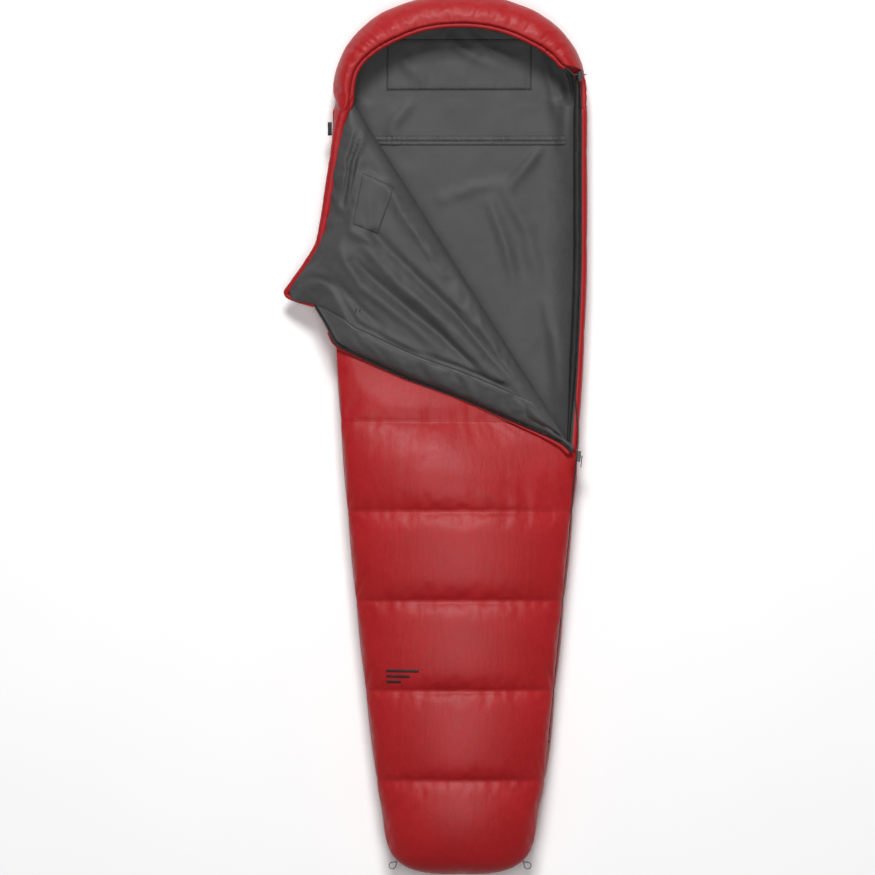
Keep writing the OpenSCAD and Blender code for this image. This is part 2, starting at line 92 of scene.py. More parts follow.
# the bag's own shape, in metres
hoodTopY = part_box("hood_shell")[1][1]
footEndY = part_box("foot_shell")[0][1]
bag = dict(
    halfShoulder=0.303,
    halfFoot=0.176,
    taperY=0.45,            # the sides run in from here to the foot
    taperLength=1.435,
    taperPower=1.55,
    sideZ=0.097,            # height of the line where base and top meet
    loft=0.178,
    round=1.85,             # how full the cross-section is
    seamDip=0.017,          # how far a seam lies below its chambers
    footY=-0.93,            # the foot's corners start to round here
    hoodY=0.806,
    neckY=0.79,
    sliderY=-0.046,
    stopY=-0.73,
    neckSeam=0.679,
    pitch=0.214,
    seams=8,
    floorZ=0.042,
    foldZ=0.112,
    panel=0.034,            # thickness of the padded top panel
    edgeIn=0.014,
    footIn=0.014,           # the lining stands in by this much at the foot
    footRise=0.07,          # the foot closes over this length
    footFade=0.12,          # side bulges die out over this length
    topGap=0.0006,          # from the side line up to the top panel
    baseGap=0.0004,         # and down to the base
    zipLift=0.09,           # beside the zip, the rim rises over this length
    chamberPower=2.1,
    foldA=(-0.265, 0.811),
    foldB=(0.277, -0.046),
    neckEdge=[(-0.265, 0.811), (-0.298, 0.73), (-0.312, 0.65), (-0.326, 0.56), (-0.34, 0.48),
              (-0.372, 0.41), (-0.414, 0.352)],
    zipEdge=[(-0.414, 0.352), (-0.405, 0.326), (-0.346, 0.316), (-0.312, 0.258), (-0.296, 0.226),
             (-0.25, 0.2), (-0.13, 0.144), (-0.012, 0.101), (0.125, 0.043), (0.238, -0.008), (0.277, -0.046)],
)
foldStart, foldEnd = Vector(bag["foldA"]), Vector(bag["foldB"])
foldLength = (foldEnd - foldStart).length
foldWay = (foldEnd - foldStart) / foldLength         # along the fold, towards the slider
foldOut = Vector((foldWay.y, -foldWay.x))             # across it, towards the flap's free edge


def half(y):
    if y > bag["taperY"]:
        return bag["halfShoulder"]
    share = ((bag["taperY"] - y) / bag["taperLength"]) ** bag["taperPower"]
    return mix(bag["halfShoulder"], bag["halfFoot"], share)


def right(y):
    # straight along the closed zip, so that the slider can run
    top, end = bag["sliderY"], bag["stopY"]
    if end < y < top:
        return mix(half(top), half(end), (top - y) / (top - end))
    return half(y)


def sideAt(x, y):
    return right(y) if x > 0 else half(y)


def seamY(k):
    return bag["neckSeam"] - bag["pitch"] * k


def chamber(y):
    # 0 on a seam and 1 in the middle of a chamber; the last one runs on into the foot
    s = (bag["neckSeam"] - y) / bag["pitch"]
    if s > bag["seams"] - 1:
        return arch(1 - min(1, (s - bag["seams"] + 1) / 0.55), bag["chamberPower"])
    return arch(2 * (s % 1.0) - 1, bag["chamberPower"])


def seamGap(y):
    # distance to the nearest seam
    s = (bag["neckSeam"] - y) / bag["pitch"]
    return abs(s - clamp(round(s), 0, bag["seams"] - 1)) * bag["pitch"]


def foldX(y):
    return mix(foldStart.x, foldEnd.x, (foldStart.y - y) / (foldStart.y - foldEnd.y))


def belowFlap(x, y):
    (x0, y0), (x1, y1) = bag["zipEdge"][7], bag["zipEdge"][9]
    return y0 + (y1 - y0) * (x - x0) / (x1 - x0) - y


def footShare(x, y):
    # falls from 1 to 0 at the foot's end, with rounded corners
    start = bag["footY"] + bag["footRise"]
    if y > start:
        return 1.0
    end = footEnd(x / max(sideAt(x, y), 0.01))
    return arch(clamp((start - y) / (start - end)), 2.2)


def footEnd(q):
    return bag["footY"] + (footEndY + 0.001 - bag["footY"]) * arch(q, 3.2)


def topZ(x, y):
    side = arch(x / sideAt(x, y), bag["round"])
    rise = mix(side, 1, smooth((y - bag["sliderY"]) / bag["zipLift"])) if x > 0 else side
    closed = bag["loft"] - bag["seamDip"] * (1 - chamber(y))
    under = bag["foldZ"] - 0.004 + 0.003 * chamber(y)
    crown = mix(under, closed, smooth(belowFlap(x, y) / 0.26) ** 0.8)
    return bag["sideZ"] + bag["topGap"] + (crown - bag["sideZ"]) * rise * footShare(x, y)


def besideZip(x, y):
    return x > 0 and y > bag["sliderY"]


def footInset(y):
    return y + bag["footIn"] * smooth((bag["footY"] - y) / 0.05)


def droop(x):
    d = max(0.0, -0.25 - x)
    return d * d / 0.3 if d < 0.09 else 0.027 + (d - 0.09) * 0.5


# camera, lights, floor
view = dict(centreX=-0.054, centreY=-0.001, width=2.107, distance=14.0, sensor=36.0)
studio = dict(
    key=dict(place=(-0.25, 5.5, 7.1), size=(2.6, 2.2), power=640),
    soft=dict(place=(0.0, -0.6, 6.0), size=(2.4, 2.4), power=140),
    world=0.09,
    floor=(0.99, 0.99, 0.99),
)


def link(obj):
    bpy.context.scene.collection.objects.link(obj)
    return obj


def makeCamera():
    data = bpy.data.cameras.new("camera")
    data.sensor_width = view["sensor"]
    data.lens = view["sensor"] * view["distance"] / view["width"]
    data.clip_end = 60
    cam = link(bpy.data.objects.new("camera", data))
    cam.location = (view["centreX"], view["centreY"], view["distance"])
    bpy.context.scene.camera = cam


def makeLights():
    for name in ("key", "soft"):
        one = studio[name]
        data = bpy.data.lights.new(name, "AREA")
        data.shape = "RECTANGLE"
        data.size, data.size_y = one["size"]
        data.energy = one["power"]
        lamp = link(bpy.data.objects.new(name, data))
        lamp.location = one["place"]
        lamp.rotation_euler = Vector(one["place"]).to_track_quat("Z", "Y").to_euler()
    world = bpy.data.worlds.new("studio")
    world.use_nodes = True
    world.node_tree.nodes["Background"].inputs["Color"].default_value = (1, 1, 1, 1)
    world.node_tree.nodes["Background"].inputs["Strength"].default_value = studio["world"]
    bpy.context.scene.world = world
    bpy.context.scene.view_settings.view_transform = "Standard"


# shader maths: a wire is one socket, and an expression on wires adds its nodes
class Wire:
    def __init__(self, tree, socket):
        self.tree, self.socket = tree, socket

    def maths(self, how, other=None, turned=False):
        node = self.tree.nodes.new("ShaderNodeMath")
        node.operation = how
        values = [self] if other is None else [other, self] if turned else [self, other]
        for place, value in zip(node.inputs, values):
            if isinstance(value, Wire):
                self.tree.links.new(value.socket, place)
            else:
                place.default_value = value
        return Wire(self.tree, node.outputs[0])

    def __add__(self, other):
        return self.maths("ADD", other)

    def __sub__(self, other):
        return self.maths("SUBTRACT", other)

    def __rsub__(self, other):
        return self.maths("SUBTRACT", other, True)

    def __mul__(self, other):
        return self.maths("MULTIPLY", other)

    __radd__, __rmul__ = __add__, __mul__


class Finish:
    # a material on one principled shader, whose constants are set on its own sockets
    def __init__(self, name, **constants):
        self.material = bpy.data.materials.new(name)
        self.material.use_nodes = True
        self.tree = self.material.node_tree
        self.shader = self.tree.nodes["Principled BSDF"]
        for key, value in constants.items():
            self.put(self.shader, key, value)

    def put(self, node, key, value):
        if isinstance(value, Wire):
            self.tree.links.new(value.socket, node.inputs[key])
        elif isinstance(value, tuple) and len(value) == 3 and node.inputs[key].type == "RGBA":
            node.inputs[key].default_value = (*value, 1)
        else:
            node.inputs[key].default_value = value

    def node(self, kind, settings=None, inputs=None, out=0):
        node = self.tree.nodes.new("ShaderNode" + kind)
        for key, value in (settings or {}).items():
            if key == "stops":
                ramp = node.color_ramp.elements
                for k, (place, colour) in enumerate(value):
                    stop = ramp[k] if k < len(ramp) else ramp.new(place)
                    stop.position, stop.color = place, (*colour, 1)
            else:
                setattr(node, key, value)
        for key, value in (inputs or {}).items():
            self.put(node, key, value)
        return Wire(self.tree, node.outputs[out])

    def place(self):
        return self.node("TexCoord", out="Object")

    def clouds(self, scale, detail=2.0, rough=0.5, warp=0.0, at=None):
        return self.node("TexNoise", None, {"Vector": at or self.place(), "Scale": scale, "Detail": detail,
                                            "Roughness": rough, "Distortion": warp})

    def ramp(self, by, *stops):
        return self.node("ValToRGB", {"stops": stops}, {"Fac": by})

    def bump(self, height, depth, strength, on=None):
        inputs = {"Height": height, "Distance": depth, "Strength": strength}
        if on:
            inputs["Normal"] = on
        return self.node("Bump", None, inputs)

    def feed(self, **wires):
        sockets = dict(colour="Base Color", rough="Roughness", normal="Normal")
        for key, wire in wires.items():
            self.put(self.shader, sockets[key], wire)
        return self.material


def weave(finish, pitch):
    # threads over and under, along the bag and across it
    axes = finish.node("SeparateXYZ", None, {"Vector": finish.place()})
    x, y, z = (Wire(finish.tree, axes.socket.node.outputs[k]) for k in range(3))
    k = 2 * math.pi / pitch
    return ((x + z) * k).maths("SINE") * ((y + z) * k).maths("SINE") * 0.5 + 0.5


def grey(v, blue=0.0005):
    return v, v, v + blue


# taffeta: three tones, then sheen, shine, least roughness, pitch of the weave, depth of creases and streaks
nylons = dict(
    redShell=[(0.315, 0.0085, 0.0105), (0.36, 0.0105, 0.013), (0.405, 0.0135, 0.0165),
              0.03, 0.27, 0.4, 0.0007, 0.00035, 0.0007],
    redHem=[(0.3, 0.008, 0.0105), (0.345, 0.0095, 0.0125), (0.39, 0.012, 0.0155),
            0.03, 0.25, 0.45, 0.0007, 0.0005, 0],
    greyLining=[grey(0.05), grey(0.06), grey(0.071), 0.03, 0.26, 0.5, 0.0006, 0.00035, 0],
    seamTape=[grey(0.034, 0.001), grey(0.042, 0.001), grey(0.05, 0.001), 0.03, 0.25, 0.55, 0.0009, 0.0003, 0],
    # for the draft tube: its darker grey is painted shade, for the shadow it lies in beside the rim
    paintedShadeLining=[grey(0.014), grey(0.019), grey(0.025), 0.02, 0.2, 0.5, 0.0006, 0.00035, 0],
    greyFacing=[grey(0.06), grey(0.07), grey(0.082), 0.04, 0.3, 0.46, 0.0006, 0.0003, 0],
)


def nylon(name, deep, mid, light, sheen, shine, rough, pitch, crinkle, streaks):
    # soft tone changes, small creases at random, and the weave itself
    cloth = Finish(name, **{"Sheen Weight": sheen, "Sheen Roughness": 0.4, "Specular IOR Level": shine})
    broad = cloth.clouds(9.0, 3.0)
    fine = cloth.clouds(60.0, 3.0, 0.55, 0.8)
    grain = cloth.clouds(900.0, 2.0)
    tone = broad * 0.5 + fine * 0.35 + grain * 0.15
    threads = weave(cloth, pitch)
    creases = cloth.bump(fine, crinkle, 0.8)
    if streaks:
        # long shallow wrinkles along the bag
        drawn = cloth.node("VectorMath", {"operation": "MULTIPLY"}, {0: cloth.place(), 1: (95.0, 15.0, 95.0)})
        creases = cloth.bump(cloth.clouds(1.0, 2.0, 0.4, 0.3, drawn), streaks, 0.7, creases)
    normal = cloth.bump(threads, 0.00006, 0.35, creases)
    return cloth.feed(colour=cloth.ramp(tone, (0.3, deep), (0.52, mid), (0.75, light)),
                      rough=fine * 0.14 + rough, normal=normal)


# other finishes. A source is clouds, by scale, detail and roughness, or the weave, whose pitch comes first.
# Then sheen and shine, the tone's sources and their shares, its stops, (source, range, least) for the
# roughness, (source, depth, strength) for the bump, and for metals how metallic and how coated
threads = (0, 0.2, 0.3, [((700.0,), 1)])
others = dict(
    zipTape=(0.0011, 0.1, 0.3, [("weave", 0.5), ((400.0,), 0.5)],
             [(0.25, grey(0.012, 0.001)), (0.8, grey(0.035, 0.002))],
             ((120.0,), 0.2, 0.6), ("weave", 0.0002, 0.6)),
    redThread=(*threads, [(0.3, (0.16, 0.006, 0.009)), (0.7, (0.27, 0.012, 0.016))],
               ((300.0,), 0.2, 0.5), ((2500.0,), 0.0001, 0.5)),
    darkThread=(*threads, [(0.3, grey(0.012, 0.001)), (0.7, grey(0.03, 0.002))],
                ((300.0,), 0.2, 0.55), ((2500.0,), 0.0001, 0.5)),
    zipCoil=(0, 0, 0.5, [((500.0,), 1)], [(0.3, grey(0.01, 0.001)), (0.7, grey(0.024, 0.002))],
             ((250.0,), 0.2, 0.28), ((1800.0,), 0.00005, 0.4)),
    zipMetal=(0, 0, 0.5, [((220.0, 5.0, 0.65), 1)],
              [(0.42, grey(0.018, 0.002)), (0.62, grey(0.032, 0.002)), (0.75, grey(0.09, 0))],
              ((220.0, 5.0, 0.65), 0.3, 0.24), ((900.0,), 0.00006, 0.5), 0.5, 0.05),
    cord=(0.0012, 0.25, 0.3, [("weave", 0.6), ((600.0,), 0.4)],
          [(0.2, grey(0.06, 0.002)), (0.8, grey(0.19, 0))],
          ((300.0,), 0.2, 0.6), ("weave", 0.0003, 0.7)),
    label=(0.0009, 0.1, 0.3, [("weave", 0.4), ((300.0,), 0.6)],
           [(0.25, grey(0.006, 0.001)), (0.8, grey(0.02, 0.001))],
           ((200.0,), 0.2, 0.45), ("weave", 0.00012, 0.5)),
    print=(0.0007, 0, 0.35, [((420.0, 4.0, 0.6), 1)],
           [(0.3, (0.035, 0.010, 0.012)), (0.6, (0.055, 0.014, 0.017)), (0.8, (0.09, 0.018, 0.021))],
           ((420.0, 4.0, 0.6), 0.25, 0.4), ("weave", 0.00005, 0.4)),
    lockPlastic=(0, 0, 0.5, [((90.0,), 1)], [(0.3, grey(0.028, 0.002)), (0.7, grey(0.045, 0.002))],
                 ((1400.0, 3.0), 0.2, 0.36), ((1400.0, 3.0), 0.00008, 0.5)),
    springSteel=(0, 0, 0.5, [((300.0,), 1)], [(0.3, grey(0.45, 0.01)), (0.7, grey(0.62, 0))],
                 ((800.0,), 0.2, 0.2), ((1500.0,), 0.00004, 0.5), 1.0),
)


def plainFinish(name, pitch, sheen, shine, tone, stops, rough, relief, metal=0.0, coat=0.0):
    finish = Finish(name, Metallic=metal, **{"Coat Weight": coat, "Sheen Weight": sheen,
                                             "Specular IOR Level": shine})
    wires = {}

    def wire(source):
        if source not in wires:
            wires[source] = weave(finish, pitch) if source == "weave" else finish.clouds(*source)
        return wires[source]

    shade = wire(tone[0][0]) * tone[0][1]
    for source, share in tone[1:]:
        shade = shade + wire(source) * share
    return finish.feed(colour=finish.ramp(shade, *stops), rough=wire(rough[0]) * rough[1] + rough[2],
                       normal=finish.bump(wire(relief[0]), *relief[1:]))


def makeMaterials():
    made = {name: nylon(name, *values) for name, values in nylons.items()}
    made.update({name: plainFinish(name, *values) for name, values in others.items()})
    floor = Finish("floor", Roughness=0.9)
    duller = tuple(0.99 * c for c in studio["floor"])
    made["floor"] = floor.feed(colour=floor.ramp(floor.clouds(3.0), (0.3, studio["floor"]), (0.7, duller)))
    print("materials made")
    return made


# pieces
def newPiece(name, mesh, paints, body, stands=(), levels=0):
    obj = link(bpy.data.objects.new(name, mesh))
    for paint in paints:
        mesh.materials.append(materials[paint])
    mesh.shade_smooth()
    if levels:
        mod = obj.modifiers.new("Subdivision", "SUBSURF")
        mod.levels = mod.render_levels = levels
    if body:
        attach(obj, body)
    if stands:
        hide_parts(*stands)
    return obj


def thicken(obj, thickness, offset):
    mod = obj.modifiers.new("Solidify", "SOLIDIFY")
    mod.thickness, mod.offset = thickness, offset
    return mod


def toMesh(bm, name):
    mesh = bpy.data.meshes.new(name)
    bm.to_mesh(mesh)
    bm.free()
    return mesh


def grid(columns, rows, place):
    # a sheet of quads; place(u, row) gives each point, u from 0 to 1
    bm = bmesh.new()
    bmesh.ops.create_grid(bm, x_segments=columns, y_segments=rows, size=0.5)
    at = bm.verts.layers.float_vector.new("at")
    for vert in bm.verts:
        u, row = vert.co.x + 0.5, round((0.5 - vert.co.y) * rows)
        vert[at] = (u, row, 0)
        vert.co = place(u, row)
    return bm, at


def faceAway(bm, middle):
    # turns the sheet so that its faces point away from a place inside the piece
    bm.normal_update()
    if sum(face.normal.dot(face.calc_center_median() - Vector(middle)) for face in bm.faces) < 0:
        bmesh.ops.reverse_faces(bm, faces=bm.faces[:])


cloth = dict(frames=20, stiffness=0.02, quality=6)


def swell(name, bm, pinned, give, pressure, cap):
    # the cloth fills out between its pinned seams
    mesh = bpy.data.meshes.new(name + "Cloth")
    bm.to_mesh(mesh)
    obj = link(bpy.data.objects.new(name + "Cloth", mesh))
    obj.vertex_groups.new(name="pin").add(pinned, 1.0, "REPLACE")
    mod = obj.modifiers.new("Cloth", "CLOTH")
    use = mod.settings
    use.vertex_group_mass = "pin"
    use.use_pressure = True
    use.uniform_pressure_force = pressure
    use.shrink_min = -give
    use.effector_weights.gravity = 0
    use.bending_stiffness = cloth["stiffness"]
    use.quality = cloth["quality"]
    mod.point_cache.frame_end = cloth["frames"]
    scene = bpy.context.scene
    for number in range(1, cloth["frames"] + 1):
        scene.frame_set(number)
    shaped = obj.evaluated_get(bpy.context.evaluated_depsgraph_get()).to_mesh()
    for vert, moved in zip(bm.verts, shaped.vertices):
        step = moved.co - vert.co
        if step.length > cap:
            step.length = cap
        vert.co += step
    bpy.data.objects.remove(obj)
    scene.frame_set(1)
    print(name, "swelled")


def close(bm, at, inner, rimPaint):
    # the sheet gets its other side, and a rim all round
    first = bm.faces[:]
    made = bmesh.ops.extrude_face_region(bm, geom=first, use_keep_orig=True)["geom"]
    other = {item for item in made if isinstance(item, bmesh.types.BMFace)}
    first = set(first)
    for item in made:
        if isinstance(item, bmesh.types.BMVert):
            item.co = inner(item[at][0], round(item[at][1]))
    for face in bm.faces:
        face.material_index = 0 if face in first else 1 if face in other else rimPaint
    bmesh.ops.recalc_face_normals(bm, faces=bm.faces[:])


def tube(name, path, size, sides, paint, body, stands=(), wobble=None, levels=0):
    # a closed tube along a path; wobble(k, turn) scales its radius
    bm = bmesh.new()
    rings = []
    for k, point in enumerate(path):
        way = (path[min(k + 1, len(path) - 1)] - path[max(k - 1, 0)]).normalized()
        side = way.cross(Vector((0, 0, 1))).normalized() if abs(way.z) < 0.95 else Vector((1, 0, 0))
        turned = Matrix((side, side.cross(way), way)).transposed().to_4x4()
        made = bmesh.ops.create_circle(bm, segments=sides, radius=size(k) if callable(size) else size,
                                       matrix=Matrix.Translation(point) @ turned)["verts"]
        if wobble:
            for n, vert in enumerate(made):
                vert.co = point + (vert.co - point) * wobble(k, 2 * math.pi * n / sides)
        rings.append(list({edge for vert in made for edge in vert.link_edges}))
    for a, b in zip(rings, rings[1:]):
        bmesh.ops.bridge_loops(bm, edges=a + b)
    bmesh.ops.holes_fill(bm, edges=bm.edges[:], sides=sides)
    bmesh.ops.recalc_face_normals(bm, faces=bm.faces[:])
    return newPiece(name, toMesh(bm, name), [paint], body, stands, levels)


def spread(u):
    # columns closer together towards the sides, from -1 to 1
    return mix(2 * u - 1, math.sin(math.pi * (u - 0.5)), 0.7)


def chamberRows(top, perChamber, footRows):
    # y of every row, one on each seam and closer together beside it; foot rows are counted from 0 to 1
    stops = [top] + [seamY(k) for k in range(bag["seams"])]
    rows = [("y", top)]
    for high, low in zip(stops, stops[1:]):
        n = max(4, round(perChamber * (high - low) / bag["pitch"]))
        for k in range(1, n + 1):
            t = k / n
            rows.append(("y", mix(high, low, mix(t, (1 - math.cos(math.pi * t)) / 2, 0.4))))
    rows += [("foot", k / footRows) for k in range(1, footRows + 1)]
    return rows


def rowY(row, q):
    kind, value = row
    if kind == "y":
        return value
    start = seamY(bag["seams"] - 1)
    return mix(start, footEnd(q), math.sin(value * math.pi / 2) * 0.35 + value * 0.65)


def puckers(x, y, z=0.0):
    # small gathers where the thread draws the cloth in, strongest at the seam
    d = seamGap(y)
    near = math.exp(-d / 0.022) * rumple(x * 62, y * 9, z * 30)
    return near + 0.35 * math.exp(-d / 0.07) * rumple(x * 27 + 5, y * 4, z * 12)


# the top panel, from the neck to the foot
top = dict(columns=64, perChamber=22, footRows=26, pucker=0.0026, pressure=2.5, give=0.006, cap=0.006,
           topY=0.784, bulge=0.008)


def makeTop():
    rows = chamberRows(top["topY"], top["perChamber"], top["footRows"])

    def spot(u, row):
        q = spread(u)
        y = rowY(rows[row], q)
        far = foldX(y) if y > bag["sliderY"] else right(y)
        return mix(-half(y), far, (q + 1) / 2), y, q

    def outer(u, row):
        x, y, q = spot(u, row)
        free = arch(q, 6) * footShare(x, y)
        z = topZ(x, y)
        rise = (z - bag["sideZ"]) / (bag["loft"] - bag["sideZ"])
        out = top["bulge"] * mix(0.45, 1, chamber(y)) * math.sin(math.pi * clamp(rise * 1.15) ** 0.7)
        out *= smooth(abs(q) * 2.5 - 1.5) * smooth((y - bag["footY"]) / bag["footFade"])
        if besideZip(x, y):
            out *= 1 - smooth((y - bag["sliderY"]) / 0.03)
        return Vector((x + math.copysign(out, x), y, z + top["pucker"] * puckers(x, y) * free))

    def inner(u, row):
        x, y, q = spot(u, row)
        w = sideAt(x, y)
        lift = smooth((y - bag["sliderY"]) / bag["zipLift"])
        gap = foldX(y) - x if y > bag["sliderY"] else 1.0
        closed = mix(0.01, bag["panel"], arch(x / w, bag["round"]) * footShare(x, y))
        fold = mix(0.004, bag["panel"], arch(1 - clamp(gap / bag["panel"]), 2))
        depth = min(closed, fold)
        side = abs(x / w) ** 4 * bag["edgeIn"] * smooth(gap / 0.06)
        if besideZip(x, y):
            depth = mix(min(closed, bag["panel"]), fold, lift)
            side *= 1 - lift
        low = bag["sideZ"] + bag["baseGap"] if abs(x / w) > 0.9 else 0
        scale = (abs(x) - side) / max(abs(x), 1e-6)
        return Vector((x * scale, footInset(y), max(low, topZ(x, y) - depth)))

    bm, at = grid(top["columns"], len(rows) - 1, outer)
    seams = {k for k, row in enumerate(rows) if row[0] == "y" and seamGap(row[1]) < 0.002}
    pinned = [vert.index for vert in bm.verts if vert.is_boundary or round(vert[at][1]) in seams
              or belowFlap(vert.co.x, vert.co.y) < -0.02]
    faceAway(bm, (0, 0, -1))
    swell("top", bm, pinned, top["give"], top["pressure"], top["cap"])
    close(bm, at, inner, 0)
    obj = newPiece("topPanel", toMesh(bm, "topPanel"), ["redShell", "greyLining"], "root",
                   ("top_shell", "top_fill_chest", "top_fill_hip", "top_fill_thigh", "top_fill_knee",
                    "top_fill_shin", "top_fill_ankle", "top_baffles", "top_lining"), 1)
    print("top panel made")
    return surfaceOf(obj)


# the base panel, with the foot's lower half and the floor under the hood
base = dict(columns=72, perChamber=18, footRows=22, headRows=22, headY=0.998, pucker=0.002, rise=1.7,
            bulge=0.0085, bulgeTop=0.0885, zipSide=1.75,
            folds=[([(0.193, 0.69), (0.15, 0.64), (0.108, 0.595)], 0.006, 0.012),
                   ([(-0.05, 0.57), (0.02, 0.594), (0.084, 0.607)], 0.006, 0.009),
                   ([(0.07, 0.57), (0.11, 0.46), (0.132, 0.37)], 0.0055, 0.012),
                   ([(0.1, 0.6), (0.16, 0.5), (0.19, 0.38)], 0.004, 0.016),
                   ([(0.2, 0.33), (0.225, 0.22), (0.235, 0.1)], 0.004, 0.012),
                   ([(-0.04, 0.965), (0.01, 0.925), (0.09, 0.885)], 0.006, 0.008),
                   ([(0.02, 0.965), (0.06, 0.935), (0.13, 0.9)], 0.005, 0.007),
                   ([(-0.15, 0.94), (-0.13, 0.89), (-0.08, 0.855)], 0.004, 0.009),
                   ([(-0.12, 0.8), (-0.17, 0.74), (-0.14, 0.7)], 0.005, 0.014),
                   ([(0.235, 0.86), (0.25, 0.79), (0.245, 0.7)], 0.007, 0.012),
                   ([(0.205, 0.9), (0.222, 0.83), (0.232, 0.76)], 0.005, 0.012)])


def foldHeight(folds, x, y):
    # long soft creases in the cloth: each has a line, a height and a width, and fades at both ends
    total = 0.0
    for points, high, wide in folds:
        best, place, run = 1.0, 0.0, 0.0
        lengths = [math.dist(a, b) for a, b in zip(points, points[1:])]
        for (ax, ay), (bx, by), length in zip(points, points[1:], lengths):
            t = clamp(((x - ax) * (bx - ax) + (y - ay) * (by - ay)) / length ** 2)
            d = math.hypot(x - ax - t * (bx - ax), y - ay - t * (by - ay))
            if d < best:
                best, place = d, (run + t * length) / sum(lengths)
            run += length
        if best < 3 * wide:
            ends = math.sin(math.pi * mix(0.08, 0.96, place)) ** 0.6
            total += high * math.exp(-(best / wide) ** 2) * ends
    return total


def floorHalf(y):
    # half the width of the floor under the hood
    end = base["headY"] + 0.003
    return (bag["halfShoulder"] - 0.033) * arch((y - bag["hoodY"]) / (end - bag["hoodY"]), hood["power"])


def makeBase():
    count = base["headRows"]
    rows = [("y", mix(base["headY"], bag["neckY"], math.sin(k / count * math.pi / 2))) for k in range(count)]
    rows += chamberRows(bag["neckY"], base["perChamber"], base["footRows"])
    rim = bag["sideZ"] - bag["baseGap"]

    def spot(u, row):
        # share of the width, y, half the width, how far up the foot's end, and how far under the hood
        q = spread(u)
        y = rowY(rows[row], q)
        w = right(y) if q > 0 else half(y)
        return q, y, w, 1 - footShare(q * w, y), smooth((y - bag["neckY"] + 0.005) / 0.03)

    def outer(u, row):
        q, y, w, lift, head = spot(u, row)
        r = clamp((abs(q) - 0.62) / 0.38)
        z = rim * (1 - arch(r, 2))
        out = base["bulge"] * mix(0.6 if q > 0 else 0.25, 1, chamber(y)) * r
        out *= math.sin(math.pi * clamp(z / base["bulgeTop"]) ** 1.7)
        out *= smooth((y - bag["footY"]) / bag["footFade"])
        if q > 0:
            out *= mix(1, base["zipSide"], smooth((bag["sliderY"] - y) / 0.06))
        x = q * w + math.copysign(out, q)
        z = mix(z, rim, lift * lift)
        if head:
            x, z = mix(x, q * floorHalf(y), head), mix(z, 0.002 * abs(q), head)
        return Vector((x, y, z + 0.4 * base["pucker"] * abs(puckers(x, y, z)) * r * (1 - r)))

    def inner(u, row):
        q, y, w, lift, head = spot(u, row)
        r = clamp((abs(q) - 0.66) / 0.34)
        x, z = q * (w - bag["edgeIn"]), mix(mix(bag["floorZ"], rim, r ** 2.6), rim, lift)
        if head:
            x, z = mix(x, q * (floorHalf(y) - 0.001), head), mix(z, bag["floorZ"] - 0.004 * abs(q) ** 4, head)
        flat = arch(q, 5) if y > 0 else 0
        dip = 0.0015 * rumple(x * 24, y * 20) + 0.0012 * rumple(x * 60, y * 40)
        return Vector((x, footInset(y), z + flat * (base["rise"] * foldHeight(base["folds"], x, y) + dip)))

    bm, at = grid(base["columns"], len(rows) - 1, outer)
    close(bm, at, inner, 0)
    obj = newPiece("basePanel", toMesh(bm, "basePanel"), ["redShell", "greyLining"], "root",
                   ("base_shell", "base_fill", "base_baffles", "base_lining", "foot_shell", "foot_fill",
                    "foot_lining"), 1)
    print("base panel made")
    return surfaceOf(obj)


# the hood: a fat padded wall carried round the head
hood = dict(columns=150, rows=22, power=2.2, wide=0.05, tall=0.071, inWide=0.016, inTall=0.033, midZ=0.076,
            tail=0.13, skin=0.003, gather=0.0032, hemRadius=0.0065, give=0.02, pressure=3.0, cap=0.008,
            cordX=(0.271, 0.286, 0.302), cordY=0.866, cordZ=0.1125, cordRadius=0.0012)


def hoodSide(a):
    return mix(0.62, 1, smooth(1.5 * math.sin(math.radians(a)) - 0.35))


def hoodLip(a, tail=0.0):
    # how far the wall arches inwards: little at the right end, where the zip starts, and less down the tails
    return mix(12, 110, smooth((a - 12) / 10)) * (1 - 0.45 * smooth(-tail))


def archAt(a, e, z):
    c, s = math.cos(math.radians(a)), max(0.0, math.sin(math.radians(a)))
    return Vector((math.copysign(abs(c) ** (2 / hood["power"]), c) * (bag["halfShoulder"] - e),
                   bag["hoodY"] + s ** (2 / hood["power"]) * (hoodTopY - bag["hoodY"] - e), z))


def baseSide(z):
    # half the width of the base at a height
    return bag["halfShoulder"] * (0.62 + 0.38 * math.sqrt(1 - (1 - min(z / bag["sideZ"], 1)) ** 2))


def hoodPoint(a, t, inner, out=0.0, tail=0.0):
    b = math.radians(mix(-90, hoodLip(a, tail), t))
    wide, tall = (hood["inWide"], hood["inTall"]) if inner else (hood["wide"] + out, hood["tall"] + out)
    middle = hood["wide"] + (0.0076 if inner else 0)
    if b > 0:
        tall *= mix(1, 0.36, smooth(-tail))
    point = archAt(a, hoodSide(a) * (middle - wide * math.cos(b)), hood["midZ"] + tall * math.sin(b))
    if tail:
        # the tails thin out over the base's side
        edge = math.copysign(bag["halfShoulder"] - 0.002, point.x)
        side = baseSide(point.z) - (hood["skin"] if inner else -hood["skin"] / 2)
        narrow = edge + (point.x - edge) * mix(1, 0.5, smooth(-tail))
        point.x = mix(narrow, math.copysign(side, point.x), smooth(-tail * 1.1))
        point.y += tail * hood["tail"]
    return point


def gathers(a):
    # how strongly the drawcord bunches the hem at this angle
    return 0.16 + math.exp(-((a - 142) / 16) ** 2) + math.exp(-((a - 33) / 13) ** 2)


def hoodAngle(u):
    # the middle of the wall runs round the head; its tails run down beside the neck
    return 180 * (1 - clamp((u - 0.08) / 0.84))


def hoodTail(u):
    return -clamp((0.08 - u) / 0.08) - clamp((u - 0.92) / 0.08)


